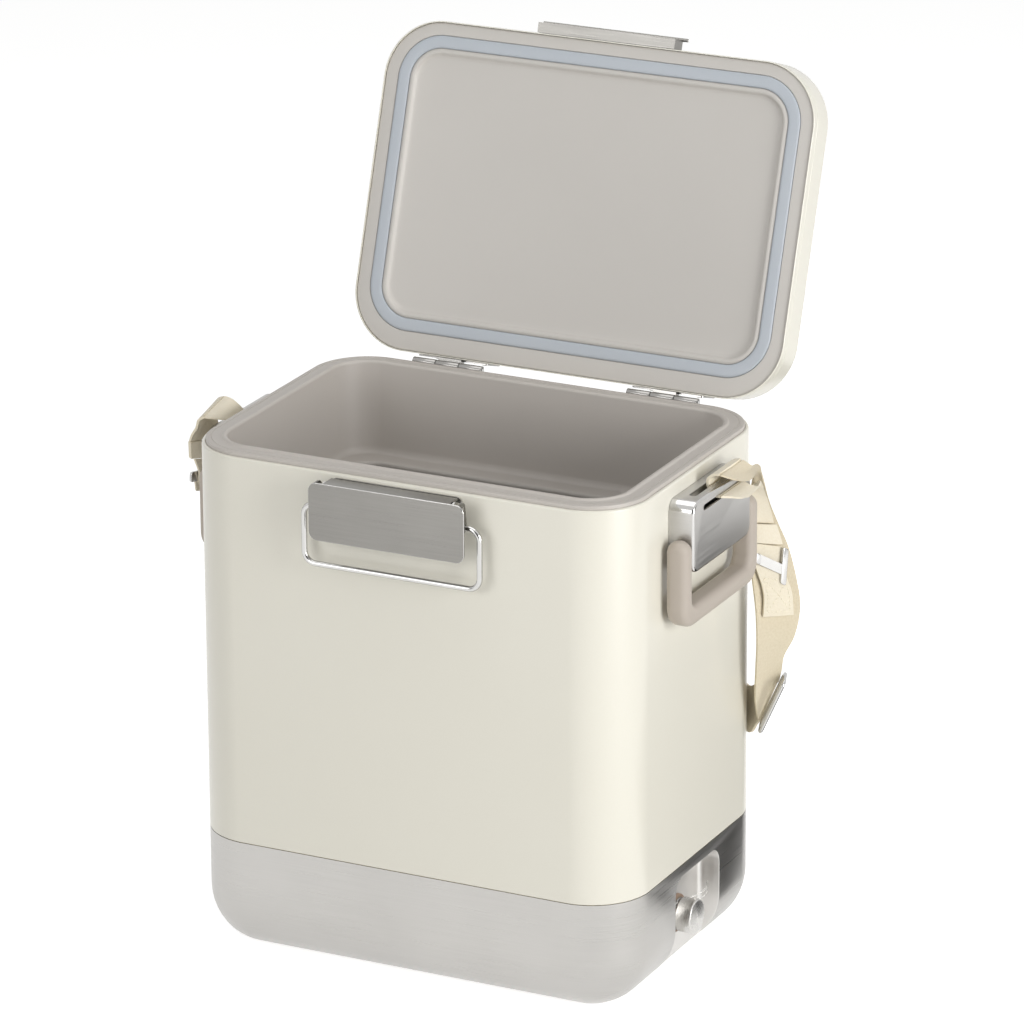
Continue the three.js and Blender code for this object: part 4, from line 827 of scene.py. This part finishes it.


# %% [markdown]
# The drain sits in the recess: a rubber washer, a clear ring that the tether holds, and a turned steel knob
# whose stem seals in the spout. All are lathe work, so each is a profile spun about the drain's line. The
# tether is a thin loop of clear vinyl; it rides on no body, so it stays where it is drawn when the plug is
# screwed out.

# %% Drain
FACE = RECESS["floor"]


def revolve(profile, segments=64):
    """Spins a line of (along X, radius) points about the drain's line."""
    return turned([(x, 0, DRAIN + radius) for x, radius in profile], (0, 0, DRAIN), (1, 0, 0), segments)


def knob():
    start = FACE + 5.9
    end = SIDE + 1.7
    edge = 1.2
    roll = [(end - edge + edge * math.sin(a), 13.4 - edge + edge * math.cos(a)) for a in quarter(5)]
    return revolve([(start - 16, 0), (start - 16, 6.2), (start, 6.2), (start, 12.4), (start + 0.5, 13),
                    (start + 1.2, 13.4), *roll, (end, 0)], 96)


def washer(start, thick, inner, outer, edge):
    return revolve([(start, inner), (start, outer - edge), (start + edge, outer), (start + thick - edge, outer),
                    (start + thick, outer - edge), (start + thick, inner), (start, inner)])


def tether_ring():
    start = FACE + 3.2
    disc = washer(start, 2.4, 6.5, 12.6, 0.4)
    tab = block((start, 9, DRAIN + 2.5), (start + 2.4, 17, DRAIN + 7.5), 1.6, 0, 0.3)
    return carve(disc, tab, operation="UNION")


def tether():
    x, y, z = FACE + 4.4, 17.6, DRAIN + 5
    reach = 24.8
    upper = [(0, 0, 0.03), (0.25, 0.2, 0.12), (0.55, 0.3, 0.22), (0.85, 0.2, 0.27), (1, 0.12, 0.24)]
    lower = [(1, 0.12, 0.2), (0.8, 0.24, 0.12), (0.5, 0.3, 0.02), (0.2, 0.18, -0.04), (0, 0, -0.03)]
    strands = []
    for table in (upper, lower):
        line = smooth_line([Vector((x + out * reach, y + along * reach, z + rise * reach))
                            for along, out, rise in table], 6)
        strands.append(wire(line, 0.45, 3))
    return gather(*strands)


make("plug_knob", knob(), "drain_plug", turned_steel, ["drain_plug"], sharp=30)
make("drain_seal_washer", washer(FACE + 0.3, 2.6, 7, 15, 0.5), "cooler_body", washer_rubber, ["drain_washer"])
make("plug_tether_ring", tether_ring(), "plug_ring", clear_plastic, ["tether_ring"])
tether_loop = make("plug_tether", tether(), None, clear_plastic, ["drain_tether"], sharp=70)
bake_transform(tether_loop)

# %% [markdown]
# The shoulder strap is 38 mm webbing. Every length of it is a grid between two edges, so that it can twist and
# fold as woven tape does, with its own flat map for the weave. The grid gets the webbing's thickness at the
# end. The edges come from places measured on the photograph, written as shares of the strap's reach from the
# side, of half the body's depth, and of its fall from the bracket's top, in thousandths.

# %% Bands
WEBBING = 38
ACROSS = 8
STRAP_REACH, STRAP_FALL = 40, 200


def strap_place(share, side):
    out, across, rise = (thousandths / 1000 for thousandths in share)
    return Vector((side * (SIDE + STRAP_REACH * out), DEPTH / 2 * across, BRACKET["high"] + STRAP_FALL * rise))


def stations(table, side=1):
    """The two edges of a band, front then rear, from rows of six shares."""
    return [[strap_place(row[:3], side), strap_place(row[3:], side)] for row in table]


class Band:
    """The middle surface of a length of webbing: places[i][j] along and across it, and the way it faces."""

    def __init__(self, pairs, samples=8, crown=0.0):
        front = smooth_line([pair[0] for pair in pairs], samples)
        rear = smooth_line([pair[1] for pair in pairs], samples)
        self.places, self.facing = [], []
        for i in range(len(front)):
            a, b = max(i - 1, 0), min(i + 1, len(front) - 1)
            along = (front[b] + rear[b] - front[a] - rear[a]).normalized()
            normal = along.cross((rear[i] - front[i]).normalized()).normalized()
            self.facing.append(normal)
            self.places.append([front[i].lerp(rear[i], j / ACROSS)
                                + normal * crown * math.sin(math.pi * j / ACROSS) for j in range(ACROSS + 1)])
        middle = ACROSS // 2
        steps = [(q[middle] - p[middle]).length for p, q in zip(self.places, self.places[1:])]
        self.length = sum(steps)
        self.distance = [sum(steps[:i]) for i in range(len(front))]
        area = sum(((c - a).cross(d - b)).length / 2 for low, high in zip(self.places, self.places[1:])
                   for a, b, c, d in zip(low, low[1:], high[1:], high))
        self.width = area / self.length

    def at(self, along, across, lift):
        """A place on the band, by shares of its length and width, lifted off its middle."""
        target = along * self.length
        i = max(k for k, d in enumerate(self.distance) if d <= target + TINY)
        i = min(i, len(self.places) - 2)
        t = (target - self.distance[i]) / (self.distance[i + 1] - self.distance[i])
        j = min(int(across * ACROSS), ACROSS - 1)
        u = across * ACROSS - j
        low = self.places[i][j].lerp(self.places[i][j + 1], u)
        high = self.places[i + 1][j].lerp(self.places[i + 1][j + 1], u)
        return low.lerp(high, t) + self.facing[i].lerp(self.facing[i + 1], t) * lift

    def mesh(self, thickness):
        bm = bmesh.new()
        flat = bm.loops.layers.uv.new("UVMap")
        grid = [[bm.verts.new(place) for place in row] for row in self.places]
        for i in range(len(grid) - 1):
            for j in range(ACROSS):
                face = bm.faces.new((grid[i][j], grid[i][j + 1], grid[i + 1][j + 1], grid[i + 1][j]))
                for corner, (u, v) in zip(face.loops, ((j, i), (j + 1, i), (j + 1, i + 1), (j, i + 1))):
                    corner[flat].uv = (u / ACROSS * WEBBING, self.distance[v])
        item = placed("band", as_mesh(bm, "band"))
        shell = item.modifiers.new("thickness", "SOLIDIFY")
        shell.thickness, shell.offset = thickness, 0
        return baked(item)


def lay(name, band, node, thickness=1.8, material=webbing):
    piece = make(name, band.mesh(thickness), "cooler_body", material, [node], sharp=50)
    print(name, round(band.width, 1), "x", round(band.length, 1), "mm")
    return piece


# %% [markdown]
# On each side the strap comes out of the bracket's face slot, goes up through the top slot and arches over.
# One layer falls to the slider, and a second, sewn end carries a folded sleeve, a link and a flat hook with a
# stitched patch below it.

# %% Routes of the strap
drop_right = [
    (660, 80, 5, 630, 325, 10), (640, 265, -37, 590, 420, -5), (540, 405, -50, 540, 495, -25),
    (390, 520, -70, 490, 580, -95), (275, 560, -145, 490, 675, -205), (210, 567, -240, 590, 737, -305),
    (240, 567, -375, 710, 785, -395), (310, 563, -495, 865, 803, -525), (390, 563, -625, 950, 803, -635),
    (410, 567, -750, 875, 780, -750), (375, 582, -855, 690, 757, -835), (290, 630, -1000, 670, 735, -905),
    (275, 680, -1085, 640, 714, -930),
]
tail_right = [
    (660, 16, -50, 640, 280, -55), (760, 125, -72, 710, 350, -75), (660, 295, -90, 640, 435, -83),
    (510, 435, -95, 540, 512, -90), (360, 524, -118, 510, 590, -145), (287, 532, -185, 540, 652, -230),
    (270, 536, -265, 557, 687, -290),
]
sleeve_right = [
    (263, 536, -270, 588, 692, -297), (295, 536, -343, 688, 714, -377),
]
link_right = [
    (307, 561, -352, 665, 724, -390), (315, 558, -410, 690, 720, -465),
]
hook_right = (393, 545, -404, 800, 716, -484)
patch_right = [
    (337, 553, -420, 710, 714, -475), (500, 590, -550, 863, 742, -570), (512, 581, -645, 902, 741, -658),
]
loop_left = [
    (278, -258, 9, 278, -70, 18), (313, -303, 23, 325, -101, 43), (438, -357, 35, 438, -116, 64),
    (575, -373, 38, 575, -120, 71),
]
drop_left = [
    (600, -140, -48, 600, 150, -40), (660, 100, -72, 640, 320, -35), (590, 390, -85, 590, 497, -40),
    (410, 520, -90, 510, 598, -125), (287, 550, -165, 510, 683, -235), (210, 560, -325, 540, 776, -365),
    (190, 560, -565, 540, 815, -585), (150, 600, -805, 360, 846, -765), (113, 667, -990, 190, 869, -905),
    (50, 768, -1110, 30, 857, -965), (-150, 876, -1200, -150, 876, -1012),
]
tail_left = [
    (588, -373, 38, 588, -120, 70), (700, -377, 23, 713, -120, 60), (750, -377, -8, 800, -120, 30),
    (850, -377, -40, 775, -118, -20), (908, -374, -68, 688, -113, -87),
]
sleeve_left = [
    (911, -374, -70.5, 685, -113, -90), (927, -362, -138, 670, -110, -162),
]
link_left = [
    (887, -334, -146, 720, -170, -166), (822, -318, -200, 700, -170, -210), (850, -310, -242, 720, -180, -248),
]
hook_left = (925, -365, -214, 738, -132, -225)
patch_left = [
    (912, -322, -235, 760, -185, -245), (925, -303, -280, 770, -180, -290),
]
slot_path = [(203.3, 384.9), (200, 384.9), (195.3, 386.7), (193.5, 391.5)]
arch_path = [(193.5, 397.5), (198.25, 401.1), (202.7, 402)]
arch_exit = [(203.9, 401.7)]
slot_exit = [(204.2, 384.9)]


def level(path, edges, side):
    """Stations whose two edges lie at one height, straight across the bracket."""
    return [[Vector((side * x, y, z)) for y in edges] for x, z in path]


# %% [markdown]
# The first places of a route are straight lines across the bracket's slots, and the rest are the measured ones.
# The sleeve, the drop and the patch are bowed a little across, as tape is that bends or is sewn over another.
# The run behind the cooler follows the body's rear corners at one distance and sags in the middle.

# %% Laying the strap
STRAP_SIDES = {
    "right": (1, {
        "loop": (slot_path + arch_path, []), "drop": (arch_exit, drop_right), "tail": (slot_exit, tail_right),
        "sleeve": ([], sleeve_right), "link": ([], link_right), "patch": ([], patch_right)}, (-5.58, 32.9)),
    "left": (-1, {
        "loop": (slot_path, loop_left), "drop": (slot_exit, drop_left), "tail": ([], tail_left),
        "sleeve": ([], sleeve_left), "link": ([], link_left), "patch": ([], patch_left)}, (-32.9, -4.19)),
}
CROWN = {"sleeve": 1.6, "drop": -1.4, "patch": 0.5}
bands = {}
for name, (side, routes, edges) in STRAP_SIDES.items():
    for part, (path, table) in routes.items():
        pairs = level(path, edges, side) + stations(table, side)
        bands[part, name] = Band(pairs, samples=10 if len(pairs) < 4 else 8, crown=CROWN.get(part, 0))
        # The drops take the darker webbing, painted shade, and the sewn lengths the lighter one, painted light.
        lay(f"webbing_{part}_{name}", bands[part, name], f"strap_{part}_{name}",
            3.4 if part == "sleeve" else 1.8, webbing if part == "drop" else lit_webbing)


def back_pairs():
    """The run behind the cooler: from the slider, round both rear corners and across the back."""
    gap, middle, sag, wide = 4.5, 172, 8, 38.1
    cx, cy = SIDE - CORNER, DEPTH / 2 - CORNER
    turn = [(cx + (CORNER + gap) * math.cos(s * math.pi / 2), cy + (CORNER + gap) * math.sin(s * math.pi / 2))
            for s in (0.42, 0.66, 0.9)]
    flat = [(share * cx, DEPTH / 2 + gap) for share in (0.7, 0.25, -0.25, -0.7)]
    pairs = stations([(270, 710, -1100, 600, 735, -935), (100, 790, -1140, 200, 815, -960)])
    for x, y in [*turn, *flat, *[(-x, y) for x, y in reversed(turn)]]:
        low = middle - sag * math.cos(x / SIDE * math.pi / 2) - wide / 2
        pairs.append([Vector((x, y, low)), Vector((x, y, low + wide))])
    return pairs


bands["back", ""] = Band(back_pairs())
lay("webbing_back", bands["back", ""], "strap_back")

# %% [markdown]
# Steel fittings of the strap: the flat hook is cut from plate, an upright at each end and a bar between them,
# and the slider is a frame with a middle bar. Both are set in the plane of the webbing that they hold, so they
# are drawn flat and then placed by three directions.

# %% Hook and slider
def set_in_plane(bm, front, rear, down, square=True):
    """Places a flat piece by the line between two places and the way down. It stays square, or leans."""
    along = (rear - front).normalized()
    fall = (down - along * down.dot(along)).normalized() if square else down.normalized()
    out = along.cross(fall).normalized()
    matrix = Matrix((along, fall, out)).transposed().to_4x4()
    bmesh.ops.transform(bm, matrix=Matrix.Translation((front + rear) / 2) @ matrix, verts=bm.verts)
    return bm


def flat_hook():
    half, thick = 15.5, 1.2
    lug = block((-half, -4, -thick), (-half + 4.5, 4, thick), 1.8, 2, 0.5)
    upright = block((half - 5.5, -17, -thick), (half, 11, thick), 1.8, 2, 0.5)
    middle = block((-half + 1, -3.9, -thick * 0.8), (half - 1, 3.9, thick * 0.8), 0, 2)
    return carve(lug, upright, middle, operation="UNION")


def slider_frame():
    half, side, radius = 24, 9.4, 1.5
    start = (0, side, 0)
    ring = bent([start, (half, side, 0), (half, -side, 0), (-half, -side, 0), (-half, side, 0), start], 5)
    bars = bar("x", radius, -half, half, (0, 0), 16)
    return carve(wire(ring, radius), bars, operation="UNION")


for name, side, table in (("right", 1, hook_right), ("left", -1, hook_left)):
    place = set_in_plane(flat_hook(), *stations([table])[0], Vector((0, -0.17, -1)), square=False)
    make(f"flat_hook_{name}", place, "cooler_body", polished_steel, [f"strap_hook_{name}"],
         mirrored=side < 0, sharp=30)
ends = stations([(362, 703, -1103, 742, 703, -933)])[0]
place = set_in_plane(slider_frame(), *ends, Vector((-0.45, 0.75, -0.3)))
make("slider_frame", place, "cooler_body", polished_steel, ["strap_slider"], sharp=40)

# %% [markdown]
# What shows how the strap was made is its sewing: a boxed cross on the patch below the hook and rows across
# the ends of the folds. Each stitch is a small bead of thread laid on the webbing, with very few faces.

# %% Stitches
STITCH = 3.0


def stitch_row(bm, band, start, end, lift):
    a, b = band.at(*start, lift), band.at(*end, lift)
    count = max(int((b - a).length / STITCH), 1)
    for k in range(count):
        share = (k + 0.5) / count
        low = [s + (e - s) * (share - 0.3 / count) for s, e in zip(start, end)]
        high = [s + (e - s) * (share + 0.3 / count) for s, e in zip(start, end)]
        p, q = band.at(*low, lift), band.at(*high, lift)
        turn = (q - p).to_track_quat("X", "Z").to_matrix().to_4x4()
        bmesh.ops.create_uvsphere(bm, u_segments=6, v_segments=5, radius=1, matrix=Matrix.Translation(
            (p + q) / 2) @ turn @ Matrix.Diagonal(((q - p).length / 2, 0.42, 0.42, 1)))


def stitches(name, band, rows):
    bm = bmesh.new()
    for lift in (1.0, -1.0):
        for start, end in rows:
            stitch_row(bm, band, start, end, lift)
    return make(name, bm, "cooler_body", thread, [], sharp=80)


box = [((0.3, 0.12), (0.3, 0.88)), ((0.92, 0.12), (0.92, 0.88)), ((0.3, 0.12), (0.92, 0.12)),
       ((0.3, 0.88), (0.92, 0.88)), ((0.36, 0.18), (0.86, 0.82)), ((0.36, 0.82), (0.86, 0.18))]
stitches("patch_stitches_right", bands["patch", "right"], box)
stitches("patch_stitches_left", bands["patch", "left"], [((0.3, 0.1), (0.3, 0.9)), ((0.8, 0.1), (0.8, 0.9))])

# %% [markdown]
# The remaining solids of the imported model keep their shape. Each gets the finish of what it is made of, by the
# material slot that the record gives it.

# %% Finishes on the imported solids
by_slot = {
    "shell_paint": powder_coat, "base_steel": brushed_around, "bracket_steel": brushed_plate,
    "polished_steel": polished_steel, "tub_plastic": tub_plastic, "lid_plastic": lid_plastic,
    "grip_plastic": grip_plastic, "gasket_rubber": gasket_rubber, "washer_rubber": washer_rubber,
    "seal_rubber": seal_rubber, "foam": foam, "webbing": webbing, "clear_plastic": clear_plastic,
}
slot_of = {part["node"]: part["material_slot"] for part in frame["record"]["subparts"]}
for node_name, item in frame["nodes"].items():
    item.data.materials.clear()
    item.data.materials.append(by_slot[slot_of[node_name]])
print(len(slot_of), "nodes have a slot")

# %% [markdown]
# The set is a plain studio: a pale floor, a white surround and three large soft lamps. The surround is white
# where the camera, a mirror or clear plastic looks at it, and dimmer as a light, so that the lamps can shape
# the object. Four dark cards, seen only in reflections, are set round it as a photographer's flags are: a
# polished surface has no look of its own, and the dark lines in it come from them.

# %% Floor, surround, lamps and flags
def seen_by(tree, *kinds):
    """1 for a ray of one of these kinds, and 0 for any other."""
    path = add(tree, "LightPath")
    seen, *others = (path.outputs[f"Is {kind} Ray"] for kind in kinds)
    for other in others:
        seen = add(tree, "Math", {"operation": "MAXIMUM"}, {0: seen, 1: other}).outputs[0]
    return seen


def floor_material():
    material, tree = blank_material("studio_floor")
    glow = add(tree, "Math", {"operation": "MULTIPLY", 1: 0.64}, {0: seen_by(tree, "Camera", "Glossy")})
    add_surface(tree, {"Base Color": colour("#f2f2f1"), "Roughness": 0.7, "Specular IOR Level": 0,
                       "Emission Color": (1, 1, 1, 1)}, {"Emission Strength": glow.outputs[0]})
    return material


def flat_card(name, size, place, turn, material):
    bm = bmesh.new()
    bmesh.ops.create_grid(bm, x_segments=1, y_segments=1, size=0.5)
    bmesh.ops.transform(bm, matrix=Matrix.Translation(place) @ turn @ Matrix.Diagonal((*size, 1, 1)),
                        verts=bm.verts)
    mesh = as_mesh(bm, name)
    mesh.materials.append(material)
    item = placed(name, mesh)
    return item


flat_card("studio_floor", (12, 12), (0, 0, 0), Matrix.Identity(4), floor_material())

world = bpy.data.worlds.new("surround")
bpy.context.scene.world = world
world.use_nodes = True
world.node_tree.nodes.clear()
seen = seen_by(world.node_tree, "Camera", "Glossy", "Transmission")
strength = add(world.node_tree, "MapRange", {"To Min": 0.26, "To Max": 1.0}, {"Value": seen})
light = add(world.node_tree, "Background", {"Color": (1, 1, 1, 1)}, {"Strength": strength.outputs[0]})
add(world.node_tree, "OutputWorld", {}, {"Surface": light.outputs[0]})


def lamp(name, power, size, place):
    """A soft lamp that looks at the middle of the body."""
    data = bpy.data.lights.new(name, "AREA")
    data.energy, data.shape, data.size, data.size_y = power, "RECTANGLE", *size
    item = placed(name, data)
    item.location = place
    item.rotation_euler = (Vector((0, 0, 0.25)) - Vector(place)).to_track_quat("-Z", "Y").to_euler()


lamp("key_right", 62, (1.4, 1.6), (3.0, -0.85, 0.95))
lamp("fill_front", 29, (2.0, 1.6), (-1.0, -3.0, 1.25))
lamp("top", 22, (2.4, 2.4), (0, 0.2, 2.9))

dark_card, card_tree = blank_material("dark_flag")
add_surface(card_tree, {"Base Color": colour("#2b2a29"), "Roughness": 0.9})


def standing(degrees):
    """Stands a card up and turns it round."""
    return Matrix.Rotation(math.radians(degrees), 4, "Z") @ Matrix.Rotation(math.pi / 2, 4, "X")


for name, size, place, turn in (
        ("flag_right", (1.6, 0.9), (2.2, 1.1, 0.45), standing(60)),
        ("flag_front", (0.5, 1.4), (-1.6, -2.6, 0.7), standing(-30)),
        ("flag_floor", (0.5, 0.78), (0.47, 0.49, 0.001), Matrix.Identity(4)),
        ("flag_camera", (2.6, 2.4), view_point + back * 3.6, facing)):
    flag = flat_card(name, size, place, turn, dark_card)
    flag.visible_camera = False
    flag.visible_diffuse = False
    flag.visible_shadow = False
    flag.visible_transmission = False
print(len(bpy.data.lights), "lamps")
